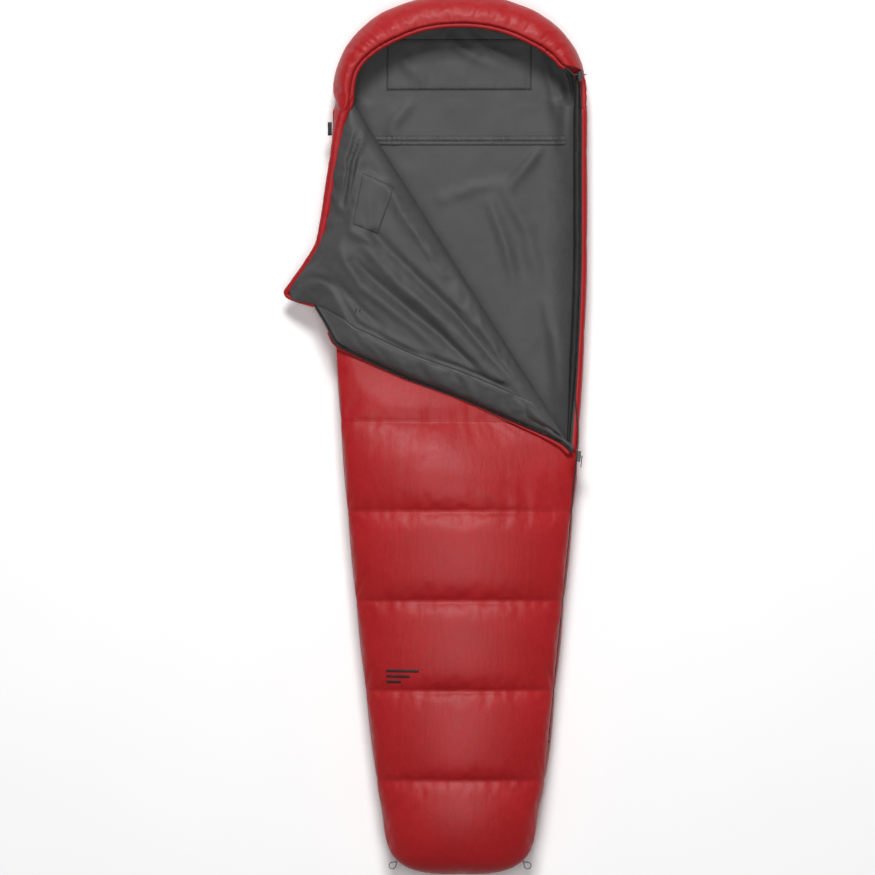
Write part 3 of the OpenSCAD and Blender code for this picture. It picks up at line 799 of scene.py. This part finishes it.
def makeHood():
    def place(u, row, inner):
        a, tail, t = hoodAngle(u), hoodTail(u), row / hood["rows"]
        lip = smooth((t - 0.45) / 0.55)
        bunch = gathers(a) * (rumple(a * 0.55, 3.0 + t * 0.6) + 0.6 * rumple(a * 1.3, 9.0 + t)) * lip
        soft = 0.5 * rumple(a * 0.11, t * 3.0, 4.0) + 0.25 * rumple(a * 0.3, t * 5.0, 8.0)
        out = hood["gather"] * (1.25 * bunch + soft) * (0.2 if t < 0.02 else 1)
        return hoodPoint(a, t, inner, 0.0 if inner else out, tail)

    bm, at = grid(hood["columns"], hood["rows"], lambda u, row: place(u, row, False))
    pinned = [vert.index for vert in bm.verts if vert.is_boundary or round(vert[at][1]) < 3]
    faceAway(bm, (0, bag["hoodY"], hood["midZ"]))
    swell("hood", bm, pinned, hood["give"], hood["pressure"], hood["cap"])
    close(bm, at, lambda u, row: place(u, row, True), 0)
    obj = newPiece("hoodPad", toMesh(bm, "hoodPad"), ["redShell", "greyLining"], "root",
                   ("hood_shell", "hood_fill", "hood_lining"), 1)
    print("hood made")


def hemAt(a, tail=0.0):
    middle = (hoodPoint(a, 1, False, 0, tail) * 1.3 + hoodPoint(a, 1, True, 0, tail) * 0.7) / 2
    return middle + (Vector((0, bag["hoodY"] - 0.04, middle.z)) - middle).normalized() * 0.0035


def makeHoodHem():
    angles = [180] * 14 + [mix(179, 19, k / 150) for k in range(151)]
    path = [hemAt(a, min(0, (k - 14) / 26)) for k, a in enumerate(angles)]

    def size(k):
        a = angles[k]
        return hood["hemRadius"] * (1 + 0.3 * gathers(a) * rumple(a * 1.1, 5.0) + 0.05 * rumple(a * 3.0, 1.0))

    def wobble(k, turn):
        return 1 + 0.22 * gathers(angles[k]) * rumple(angles[k] * 1.4, math.cos(turn), math.sin(turn))

    tube("hoodHem", path, size, 12, "redHem", "root", ("hood_hem",), wobble, 1)
    cord = path + [Vector((x, hood["cordY"], hood["cordZ"])) for x in hood["cordX"]]
    tube("drawcord", cord, hood["cordRadius"], 8, "cord", "root", ("hood_drawcord",))
    print("hood hem made")


# the folded flap, its corner and the roll of lining at the fold
flap = dict(rows=150, columns=54, pressure=1.0, give=0.02, cap=0.006, high=0.015,
            folds=[([(-0.17, 0.6), (-0.09, 0.484), (0.034, 0.345), (0.16, 0.13)], 0.009, 0.02),
                   ([(-0.205, 0.484), (-0.113, 0.392), (-0.002, 0.287), (0.13, 0.13)], -0.009, 0.01),
                   ([(-0.225, 0.45), (-0.14, 0.36), (-0.02, 0.265), (0.12, 0.115)], 0.007, 0.011),
                   ([(-0.255, 0.42), (-0.17, 0.345), (-0.06, 0.255), (0.03, 0.175)], -0.009, 0.009),
                   ([(-0.29, 0.45), (-0.235, 0.36), (-0.13, 0.28), (-0.05, 0.215)], 0.006, 0.012),
                   ([(-0.3, 0.38), (-0.24, 0.31), (-0.19, 0.265)], -0.006, 0.009),
                   ([(-0.185, 0.245), (-0.12, 0.215), (-0.07, 0.185)], 0.006, 0.009),
                   ([(-0.1, 0.33), (0.0, 0.22), (0.08, 0.14)], 0.004, 0.008),
                   ([(-0.25, 0.745), (-0.275, 0.66), (-0.292, 0.54)], 0.005, 0.007),
                   ([(-0.235, 0.74), (-0.262, 0.66), (-0.28, 0.55)], -0.004, 0.005),
                   ([(-0.225, 0.735), (-0.25, 0.66), (-0.27, 0.56)], 0.004, 0.006),
                   ([(-0.262, 0.49), (-0.235, 0.478), (-0.2, 0.46)], 0.007, 0.007)])
facing = dict(wide=0.058, columns=14, high=0.0065, startY=0.313, stitchedAt=(0.006, 0.05))


def flapReach():
    # distance from the fold to the free edge, at each place along the fold
    points = []
    for x, y in bag["neckEdge"] + bag["zipEdge"][1:]:
        off = Vector((x, y)) - foldStart
        points.append((off.dot(foldWay), off.dot(foldOut)))
    return points


reach = flapReach()


def flapSpot(s, off):
    return foldStart + foldWay * s + foldOut * off


def flapWidth(s):
    # the outline with its corners eased
    return sum(along(reach, clamp(s + d, 0.0, foldLength)) for d in (-0.004, 0, 0.004)) / 3


def zipGap(x, y):
    # distance to the flap's zipped edge
    best = 1.0
    for (ax, ay), (bx, by) in zip(bag["zipEdge"][2:], bag["zipEdge"][3:]):
        t = clamp(((x - ax) * (bx - ax) + (y - ay) * (by - ay)) / ((bx - ax) ** 2 + (by - ay) ** 2))
        best = min(best, math.hypot(x - ax - t * (bx - ax), y - ay - t * (by - ay)))
    return best


def flapDepth(off, edge):
    fold = mix(0.006, bag["panel"], arch(1 - clamp(off / bag["panel"]), 2))
    return min(fold, mix(0.008, bag["panel"], math.sqrt(clamp(edge / 0.06))))


def flapTop(s, off):
    wide = flapWidth(s)
    spot = flapSpot(s, off)
    rim = clamp(min(off, wide - off, s) / 0.03)
    head = mix(0.35, 1, smooth(s / 0.09))
    lift = flap["high"] * math.tanh(1.7 * foldHeight(flap["folds"], spot.x, spot.y) / flap["high"]) * rim
    dip = (0.002 * rumple(s * 9, off * 26) + 0.0012 * rumple(s * 30, off * 60)) * rim
    dip -= 0.008 * math.exp(-((zipGap(spot.x, spot.y) - facing["wide"] - 0.006) / 0.008) ** 2) * rim
    return Vector((spot.x, spot.y, bag["foldZ"] + 0.0004 - droop(spot.x)
                   + flapDepth(off, wide - off) * head + lift + dip))


def withFlap(obj):
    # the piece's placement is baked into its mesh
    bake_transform(obj)
    return obj


def makeFlap():
    # placed by distance along the fold and away from it
    def span(u, row):
        s = mix(0.012, foldLength - 0.022, row / flap["rows"])
        return s, max(flapWidth(s), 0.006) * mix(u, (1 - math.cos(math.pi * u)) / 2, 0.5)

    def upper(u, row):
        return flapTop(*span(u, row))

    def lower(u, row):
        spot = flapSpot(*span(u, row))
        return Vector((spot.x, spot.y, bag["foldZ"] + 0.0004 - droop(spot.x)))

    bm, at = grid(flap["columns"], flap["rows"], upper)
    pinned = [vert.index for vert in bm.verts if vert.is_boundary or vert[at][0] < 0.06 or vert[at][0] > 0.94]
    faceAway(bm, (0, bag["taperY"], -1))
    swell("flap", bm, pinned, flap["give"], flap["pressure"], flap["cap"])
    close(bm, at, lower, 1)
    obj = newPiece("flapPad", toMesh(bm, "flapPad"), ["greyLining", "redShell"], None,
                   ("flap_shell", "flap_fill", "flap_lining", "corner_shell", "corner_fill",
                    "corner_lining"), 1)
    tree = surfaceOf(obj)
    withFlap(obj)
    print("flap made")
    return tree


def surfaceOf(obj):
    shaped = obj.evaluated_get(bpy.context.evaluated_depsgraph_get())
    return BVHTree.FromObject(shaped, bpy.context.evaluated_depsgraph_get())


def onto(tree, x, y, lift=0.0, default=0.1):
    # the height of a finished surface, from above
    hit = tree.ray_cast(Vector((x, y, 0.5)), Vector((0, 0, -1)))[0]
    return Vector((x, y, (hit.z if hit else default) + lift))


def eased(points, steps):
    # a smooth path through a few points
    points = [Vector(p) for p in points]
    path = []
    for k in range(len(points) - 1):
        a, b, c, d = points[max(k - 1, 0)], points[k], points[k + 1], points[min(k + 2, len(points) - 1)]
        for n in range(steps):
            t = n / steps
            path.append(0.5 * (2 * b + (c - a) * t + (2 * a - 5 * b + 4 * c - d) * t * t
                               + (3 * b - a - 3 * c + d) * t ** 3))
    return path + [points[-1]]


def ribbon(name, path, across, wide, thick, paint, body, stands=(), columns=2, lift=None):
    # flat tape along a path; across(k) is its cross direction
    bm, at = grid(columns, len(path) - 1, lambda u, k: path[k] + across(k) * (u - 0.5) * wide
                  + Vector((0, 0, lift(u, k) if lift else 0)))
    obj = newPiece(name, toMesh(bm, name), [paint], body, stands)
    thicken(obj, thick, 0)
    return obj


def scatter(name, places, size, bevel, paint, body, stands=()):
    # one small rounded block at each place: (point, way along, way up)
    one = bmesh.new()
    bmesh.ops.create_cube(one, size=1.0)
    bmesh.ops.scale(one, vec=size, verts=one.verts[:])
    if bevel:
        bmesh.ops.bevel(one, geom=one.edges[:], offset=bevel, segments=1, profile=0.5, affect="EDGES",
                        material=-1)
    block = toMesh(one, name + "One")
    bm = bmesh.new()
    for point, way, up in places:
        side = way.cross(up).normalized()
        turned = Matrix((way.normalized(), side, side.cross(way).normalized() * -1)).transposed().to_4x4()
        start = len(bm.verts)
        bm.from_mesh(block)
        bm.verts.ensure_lookup_table()
        bmesh.ops.transform(bm, matrix=Matrix.Translation(point) @ turned, verts=bm.verts[start:])
    bmesh.ops.recalc_face_normals(bm, faces=bm.faces[:])
    bpy.data.meshes.remove(block)
    return newPiece(name, toMesh(bm, name), [paint], body, stands)


def paced(path, step):
    # places at an even step along a path, each with its direction
    places, left = [], 0.0
    for a, b in zip(path, path[1:]):
        length = (b - a).length
        while left < length:
            places.append((a.lerp(b, left / length), (b - a).normalized()))
            left += step
        left -= length
    return places


# the roll of lining that joins the top panel to the folded flap
roll = dict(radius=0.0362, rows=130, columns=30, share=0.72, over=0.03, skin=0.0008,
            turnsBelow=0.006, turnsAbove=0.002)      # two heights, below and above the fold


def makeRoll(tree):
    # half of a tube round the fold, which then runs on over the flap's lining
    def place(u, row):
        s = mix(0.016, foldLength - 0.014, row / roll["rows"])
        slim = mix(0.3, 1, smooth((foldLength - s) / 0.13))
        radius = roll["radius"] * slim
        turn = math.radians(min(90, mix(-96, 90, u / roll["share"])))
        over = max(0.0, (u - roll["share"]) / (1 - roll["share"]))
        off = radius * (1 - math.cos(turn)) + over * roll["over"] * slim
        off += 0.001 * rumple(s * 22, u * 3) - 0.0022
        off *= clamp((flapWidth(s) - 0.005) / (roll["radius"] + roll["over"]), 0.2)
        spot = flapSpot(s, off)
        z = bag["foldZ"] + radius * math.sin(turn) * (mix(0.35, 1, smooth(s / 0.09)) if turn > 0 else 1)
        if turn > 0.35:
            under = onto(tree, spot.x, spot.y, default=bag["foldZ"] + 0.0016).z
            z = mix(max(z, under + 0.0012), under - 0.0014, over)
        return Vector((spot.x, spot.y, z + 0.0012 * rumple(s * 17, u * 4, 5) * (1 - over)))

    bm, at = grid(roll["columns"], roll["rows"], place)
    faceAway(bm, (0.0, 0.36, 0.112))
    obj = newPiece("foldRoll", toMesh(bm, "foldRoll"), ["greyLining", "redShell"], None, (), 0)
    thicken(obj, roll["skin"], -1).material_offset = 1
    middle = flapSpot(foldLength / 2, bag["panel"])
    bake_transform(obj)
    print("roll made")


def makeFacing(tree):
    edge = eased([(*p, 0) for p in bag["zipEdge"][2:]], 12)
    path = [p for p, way in paced(edge, 0.0065)][:-2]
    ways = [(path[min(k + 1, len(path) - 1)] - path[max(k - 1, 0)]).normalized() for k in range(len(path))]

    first = next(k for k, p in enumerate(path) if p.y < facing["startY"])

    def place(u, row):
        k = first + row
        way = sum(ways[max(first, k - 9):k + 10], Vector()).normalized()
        inward = Vector((-way.y, way.x, 0))
        off = (path[k].xy - foldStart).dot(foldOut)
        lean = max(0.2, -inward.xy.dot(foldOut))
        end = clamp((row + 0.6) / 15) ** 0.8
        deep = mix(0.0015, min(facing["wide"], max(0.01, (off - 0.014) / lean)) * end, u)
        spot = path[k] + inward * deep
        puffy = facing["high"] * min(1, arch(1 - clamp((1 - u) / 0.1), 2)) * min(1, 0.3 + u * 4)
        return onto(tree, spot.x, spot.y, 0.0012 + puffy + 0.0007 * rumple(k * 0.12, u * 3))

    bm, at = grid(facing["columns"], len(path) - 1 - first, place)
    faceAway(bm, (0, 0, -1))
    obj = newPiece("zipFacing", toMesh(bm, "zipFacing"), ["greyFacing"], None,
                   ("flap_facing",))
    thicken(obj, 0.0014, -1)
    withFlap(obj)
    length = sum((b - a).length for a, b in zip(path[first:], path[first + 1:]))

    # piping and zip along the edge
    outward = [Vector((way.y, -way.x, 0)) for way in ways]

    def out(k, d, z):
        return path[k] + outward[k] * d + upward * (bag["foldZ"] - droop(path[k].x) + z)

    def thick(k):
        return mix(0.0026, 0.0072, smooth((k / len(path) - 0.6) / 0.35))

    pipe = [out(k, 0.0042 + 0.8 * thick(k), 0.004) for k in range(first + 10, len(path))]
    obj = tube("zipPiping", pipe, thick, 10, "redHem", None,
               (), lambda k, turn: 1 + 0.12 * rumple(k * 0.35, math.cos(turn), math.sin(turn)), 1)
    withFlap(obj)
    tape = [out(k, 0.0005, 0.0095) for k in range(len(path))]
    obj = ribbon("zipTape.flap", tape, lambda k: outward[k], 0.007, zipper["tape"], "zipTape", None,
                 ("zip_tape_flap", "zip_tape_corner"))
    withFlap(obj)
    teeth = [out(k, 0.0032, 0.0105) for k in range(len(path))]
    places = [(p, Vector((way.y, -way.x, 0)), upward) for p, way in paced(teeth, zipper["pitch"])]
    obj = scatter("zipTeeth.flap", places, zipper["tooth"], 0.0004, "zipCoil", None,
                  ("zip_coil_flap", "zip_coil_corner"))
    withFlap(obj)
    rows = []
    for inset in facing["stitchedAt"]:
        line = []
        for k in range(first + 14, len(path)):
            way = sum(ways[k - 9:k + 10], Vector()).normalized()
            inward = Vector((-way.y, way.x, 0))
            off = (path[k].xy - foldStart).dot(foldOut)
            if off < 0.075:
                break
            spot = path[k] + inward * inset
            line.append(onto(tree, spot.x, spot.y, 0.0012 + facing["high"] + 0.0006))
        rows += stitches(line)
    withFlap(scatter("facingStitches", rows, (0.0026, 0.0005, 0.0005), 0, "darkThread", None))
    print("facing and zip edge made")


def stitches(line, step=0.0036):
    return [(p, way, upward) for p, way in paced(line, step)]


# the red hem of the neck edge, which runs round the flap's tip: x, y and radius
hem = dict(line=[(-0.262, 0.815, 0.012), (-0.276, 0.782, 0.014), (-0.288, 0.735, 0.014),
                 (-0.302, 0.65, 0.013), (-0.3165, 0.56, 0.012), (-0.332, 0.48, 0.0105),
                 (-0.342, 0.453, 0.009), (-0.375, 0.404, 0.008), (-0.412, 0.354, 0.0075),
                 (-0.4165, 0.345, 0.0065), (-0.41, 0.335, 0.005), (-0.386, 0.325, 0.0042),
                 (-0.349, 0.314, 0.0038)],
           stop=(-0.4, 0.331), stopWay=(0.9, -0.3, 0))


def makeNeckHem():
    line = eased(hem["line"], 14)
    path = [Vector((x, y, bag["foldZ"] - droop(x) + 0.003 + 1.05 * r)) for x, y, r in line]

    def size(k):
        return line[k].z * (1 + 0.07 * rumple(k * 0.3, 2.0))

    tube("neckHem", path, size, 12, "redHem", "flap_corner", ("neck_hem",),
         lambda k, turn: 1 + 0.12 * rumple(k * 0.4, math.cos(turn) * 1.5, math.sin(turn) * 1.5), 1)
    x, y = hem["stop"]
    place = (Vector((x, y, bag["foldZ"] - droop(x) + 0.003)), Vector(hem["stopWay"]), upward)
    scatter("zipTopStop", [place], (0.008, 0.005, 0.004), 0.001, "zipMetal", "flap_corner",
            ("zip_top_stop",))
    print("neck hem made")


# pockets, by their corners from the top left clockwise, and the tape across the neck
pillow = dict(corners=[(-0.175, 0.955), (0.172, 0.955), (0.171, 0.834), (-0.176, 0.833)], columns=48, rows=20,
              lift=0.003, pucker=0.0018)
pocket = dict(corners=[(-0.232, 0.63), (-0.157, 0.596), (-0.196, 0.484), (-0.256, 0.508)], columns=24,
              rows=26, lift=0.0032, pucker=0.0014, tackX=(-0.249, -0.239), tackY=0.301)
neck = dict(x=(-0.205, 0.252), y=0.712, wide=0.021, thick=0.0012, steps=160, seamsY=(0.7225, 0.7105, 0.7015))


def patch(name, facts, body, stands, surface):
    # a pocket's cloth on a finished surface, with puckers along its open edge
    (ax, ay), (bx, by), (cx, cy), (dx, dy) = facts["corners"]
    pucker = facts["pucker"]

    def place(u, row):
        v = row / facts["rows"]
        x, y = mix(mix(ax, bx, u), mix(dx, cx, u), v), mix(mix(ay, by, u), mix(dy, cy, u), v)
        edge = min(u, 1 - u, v, 1 - v)
        lift = facts["lift"] * mix(0.35, 1, smooth(edge / 0.06))
        lift += pucker * rumple(x * 40, y * 18) * smooth(edge / 0.1)
        waves = math.sin(x * 260 + 2 * rumple(x * 30, 3)) * math.exp(-(1 - v) / 0.12)
        return onto(surface, x, y, lift + pucker * 0.9 * waves * smooth(edge / 0.03))

    bm, at = grid(facts["columns"], facts["rows"], place)
    faceAway(bm, (0, 0, -1))
    obj = newPiece(name, toMesh(bm, name), ["greyLining"], body, stands, 1)
    thicken(obj, 0.0012, -1)
    return obj


def makePockets(tree):
    obj = patch("pillowPocket", pillow, "root", ("pillow_pocket",), tree["base"])
    obj = withFlap(patch("innerPocket", pocket, None, ("inner_pocket",), tree["flap"]))
    tacks = [(onto(tree["flap"], x, pocket["tackY"], 0.0006), Vector((0.25, 1, 0)), upward)
             for x in pocket["tackX"]]
    withFlap(scatter("barTacks", tacks, (0.011, 0.0028, 0.0012), 0.0004, "darkThread", None))
    print("pockets made")


def stitchPillow(tree):
    # two rows on each closed side
    rows, corners = [], pillow["corners"]
    for inset in (0.0, 0.004):
        for (ax, ay), (bx, by) in zip(corners[1:], corners[2:] + corners[:1]):
            rows += stitches([onto(tree, mix(ax, bx, k / 40) * (1 - inset * 5),
                                   mix(ay, by, k / 40) + inset, 0.0034) for k in range(41)])
    scatter("pocketStitches", rows, (0.0026, 0.0006, 0.0006), 0, "darkThread", "root")


def makeNeckTape(tree):
    def line(y, steps, lift):
        return [onto(tree, mix(*neck["x"], k / steps), y, lift(k)) for k in range(steps + 1)]

    def ruck(u, k):
        groove = 0.003 * math.exp(-((u - 0.42) / 0.09) ** 2)
        return 0.0022 * math.sin(math.pi * u) * (0.5 + rumple(k * 0.4, u * 1.2, 2.0)) - groove

    path = line(neck["y"], neck["steps"], lambda k: 0.0016 + 0.0011 * rumple(k * 0.33, 4.0))
    obj = ribbon("neckTape", path, lambda k: headward, neck["wide"], neck["thick"], "greyLining", "root",
                 ("neck_tape",), 10, ruck)
    rows = []
    for y in neck["seamsY"]:
        rows += stitches(line(y, neck["steps"] // 2, lambda k: 0.0022))
    scatter("neckStitches", rows, (0.0027, 0.0007, 0.0006), 0, "darkThread", "root")
    print("neck tape made")


# the tube that keeps draughts out, inside the zip
draft = dict(topY=0.868, endY=-0.012, inside=0.0225, z=0.0905, radius=0.0125, steps=150)


def makeDraftTube():
    steps = draft["steps"]
    ys = [mix(draft["topY"], draft["endY"], k / steps) for k in range(steps + 1)]
    path = [Vector((right(y) - draft["inside"], y, draft["z"])) for y in ys]

    def size(k):
        ends = min(1, 0.35 + 6 * k / steps) * min(1, 0.3 + 3.2 * (1 - k / steps))
        return draft["radius"] * ends * (1 + 0.05 * rumple(k * 0.22, 8.0))

    def wobble(k, turn):
        flat = mix(1, 0.78, abs(math.sin(turn)) ** 2)
        return flat * (1 + 0.1 * rumple(k * 0.3, math.cos(turn), math.sin(turn)))

    # the tube's darker lining is painted shade, not the cloth's own colour
    obj = tube("draftTube", path, size, 14, "paintedShadeLining", "root",
               ("draft_tube", "draft_tube_fill"), wobble, 1)
    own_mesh(obj)
    print("draft tube made")


# the zip on the base and the closed part
zipper = dict(pitch=0.0026, open=0.0135, shut=0.0014, tooth=(0.0048, 0.0013, 0.0016),
              shutTooth=(0.003, 0.0011, 0.0028), tape=0.0007)


def zipLine(y):
    # open, its teeth lie inside the rim; closed, they stand in the groove between the panels
    inside = smooth((y - bag["sliderY"] - 0.035) / 0.12)
    x = right(y) + mix(zipper["shut"], -zipper["open"], inside)
    return Vector((x, y, bag["sideZ"] + 0.0016 * inside))


def makeZip():
    ys = [mix(0.844, bag["sliderY"] + 0.018, k / 120) for k in range(121)]
    path = [zipLine(y) for y in ys]
    ribbon("zipTape.base", [p - Vector((0.001, 0, 0.005)) for p in path], lambda k: upward, 0.011,
           zipper["tape"], "zipTape", "root", ("zip_tape_base",))
    places = [(p, rightward, upward) for p, way in paced(path, zipper["pitch"])]
    scatter("zipTeeth.base", places, zipper["tooth"], 0.0004, "zipCoil", "root",
            ("zip_coil_base",))
    closed = [zipLine(y) for y in (bag["sliderY"] + 0.014, bag["stopY"] + 0.008)]
    closed = [closed[0].lerp(closed[1], k / 60) for k in range(61)]
    places = []
    for k, (p, way) in enumerate(paced(closed, zipper["pitch"] / 2)):
        places.append((p + upward * (0.0011 if k % 2 else -0.0011), upward, rightward))
    scatter("zipTeeth.closed", places, zipper["shutTooth"], 0.0003, "zipCoil", "root",
            ("zip_coil_closed",))
    ribbon("zipTape.closed", [p - rightward * 0.0026 for p in closed], lambda k: upward, 0.018,
           zipper["tape"], "zipTape", "root", ("zip_tape_top",))
    place = (zipLine(bag["stopY"] + 0.003) + rightward * 0.0006, headward, upward)
    scatter("zipBottomStop", [place], (0.008, 0.005, 0.007), 0.0012, "zipMetal", "root",
            ("zip_bottom_stop",))
    print("zip made")


# seams, mark, label
trim = dict(markX=-0.176, markBars=[(-0.099, -0.5565), (-0.12, -0.5695), (-0.141, -0.5825)],
            markHigh=0.0068, labelY=(0.722, 0.754), labelZ=0.0795, labelOut=0.0095)


def makeTrim(tree):
    rows = []
    for k in range(3, bag["seams"]):
        y = seamY(k)
        far = foldX(y) if y > bag["sliderY"] else right(y)
        line = [onto(tree, mix(-half(y) * 0.97, far * 0.97, n / 90), y, 0.0002) for n in range(91)]
        rows += stitches([p for p in line if belowFlap(p.x, p.y) > -0.03], 0.0032)
    scatter("seamStitches", rows, (0.0024, 0.0006, 0.0005), 0, "redThread", "root")

    bm = bmesh.new()
    for end, y in trim["markBars"]:
        for vert in bmesh.ops.create_grid(bm, x_segments=16, y_segments=3, size=0.5)["verts"]:
            vert.co = onto(tree, mix(trim["markX"], end, vert.co.x + 0.5),
                           y + vert.co.y * trim["markHigh"], 0.0004)
    obj = newPiece("shellMark", toMesh(bm, "shellMark"), ["print"], "root", ("shell_mark",))
    thicken(obj, 0.0003, 1)

    y0, y1 = trim["labelY"]
    path = []
    for k in range(17):
        t = k / 16
        turn = math.pi * smooth((t - 0.4) / 0.2)
        x = -bag["halfShoulder"] - 0.004 - trim["labelOut"] * (min(t, 1 - t) / 0.5)
        path.append(Vector((x, (y0 + y1) / 2, trim["labelZ"] + 0.001 * math.cos(turn))))
    obj = ribbon("sideLabel", path, lambda k: headward, y1 - y0, 0.0005, "label", "root",
                 ("side_label",), 6)
    print("trim made")


def paintFrame():
    # the frame's own parts get their finish
    for node, paint in dict(slider_body="zipMetal", pull_tab="zipMetal", lock_barrel="lockPlastic",
                            lock_button="lockPlastic", lock_spring="springSteel").items():
        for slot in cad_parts[node].material_slots:
            slot.material = materials[paint]


def makeFloor():
    bm = bmesh.new()
    bmesh.ops.create_grid(bm, x_segments=8, y_segments=8, size=14)
    bmesh.ops.translate(bm, verts=bm.verts[:], vec=(0, 0, -0.0005))
    mesh = toMesh(bm, "floor")
    mesh.materials.append(materials["floor"])
    link(bpy.data.objects.new("floor", mesh))


# two thin cord loops at the foot
loops = dict(turns=(("left", -1, -138), ("right", 1, -42)), x=0.1525, y=-1.017, z=0.086, size=0.0024,
             length=0.0605,
             route=[(-3, -1.6, 0), (1.5, -2.2, 0), (5.5, -4.8, 0), (9.5, -7.2, -1), (14, -7.8, -2),
                    (17.8, -6, -3), (20, -3, -3), (20.6, 0, -3), (20, 3, -3), (17.8, 6, -3),
                    (14, 7.8, -2), (9.5, 7.2, -1), (5.5, 4.8, 0), (1.5, 2.2, 0), (-3, 1.6, 0)])


def makeLoops():
    for name, side, turn in loops["turns"]:
        c, s = math.cos(math.radians(turn)), math.sin(math.radians(turn))
        path = [Vector((side * loops["x"] + (p[0] * c - p[1] * s) / 1000,
                        loops["y"] + (p[0] * s + p[1] * c) / 1000, loops["z"] + p[2] / 1000))
                for p in loops["route"]]
        data = bpy.data.curves.new("hangLoop." + name, "CURVE")
        data.dimensions = "3D"
        data.bevel_depth, data.bevel_resolution, data.resolution_u = loops["size"] / 2, 4, 6
        data.use_fill_caps = True
        spline = data.splines.new("BEZIER")
        spline.bezier_points.add(len(path) - 1)
        for point, at in zip(spline.bezier_points, path):
            point.co = at
            point.handle_left_type = point.handle_right_type = "AUTO"
        obj = link(bpy.data.objects.new("hangLoop." + name, data))
        data.materials.append(materials["cord"])
        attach(obj, "root")
        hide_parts("hang_loop_" + name)
    print("hang loops made")


makeCamera()
makeLights()
materials = makeMaterials()
makeFloor()
makeLoops()
paintFrame()
surfaces = dict(base=makeBase(), top=makeTop(), flap=makeFlap())
makeHood()
makeHoodHem()
makeRoll(surfaces["flap"])
makeFacing(surfaces["flap"])
makeNeckHem()
makePockets(surfaces)
makeNeckTape(surfaces["base"])
stitchPillow(surfaces["base"])
makeDraftTube()
makeZip()
makeTrim(surfaces["top"])
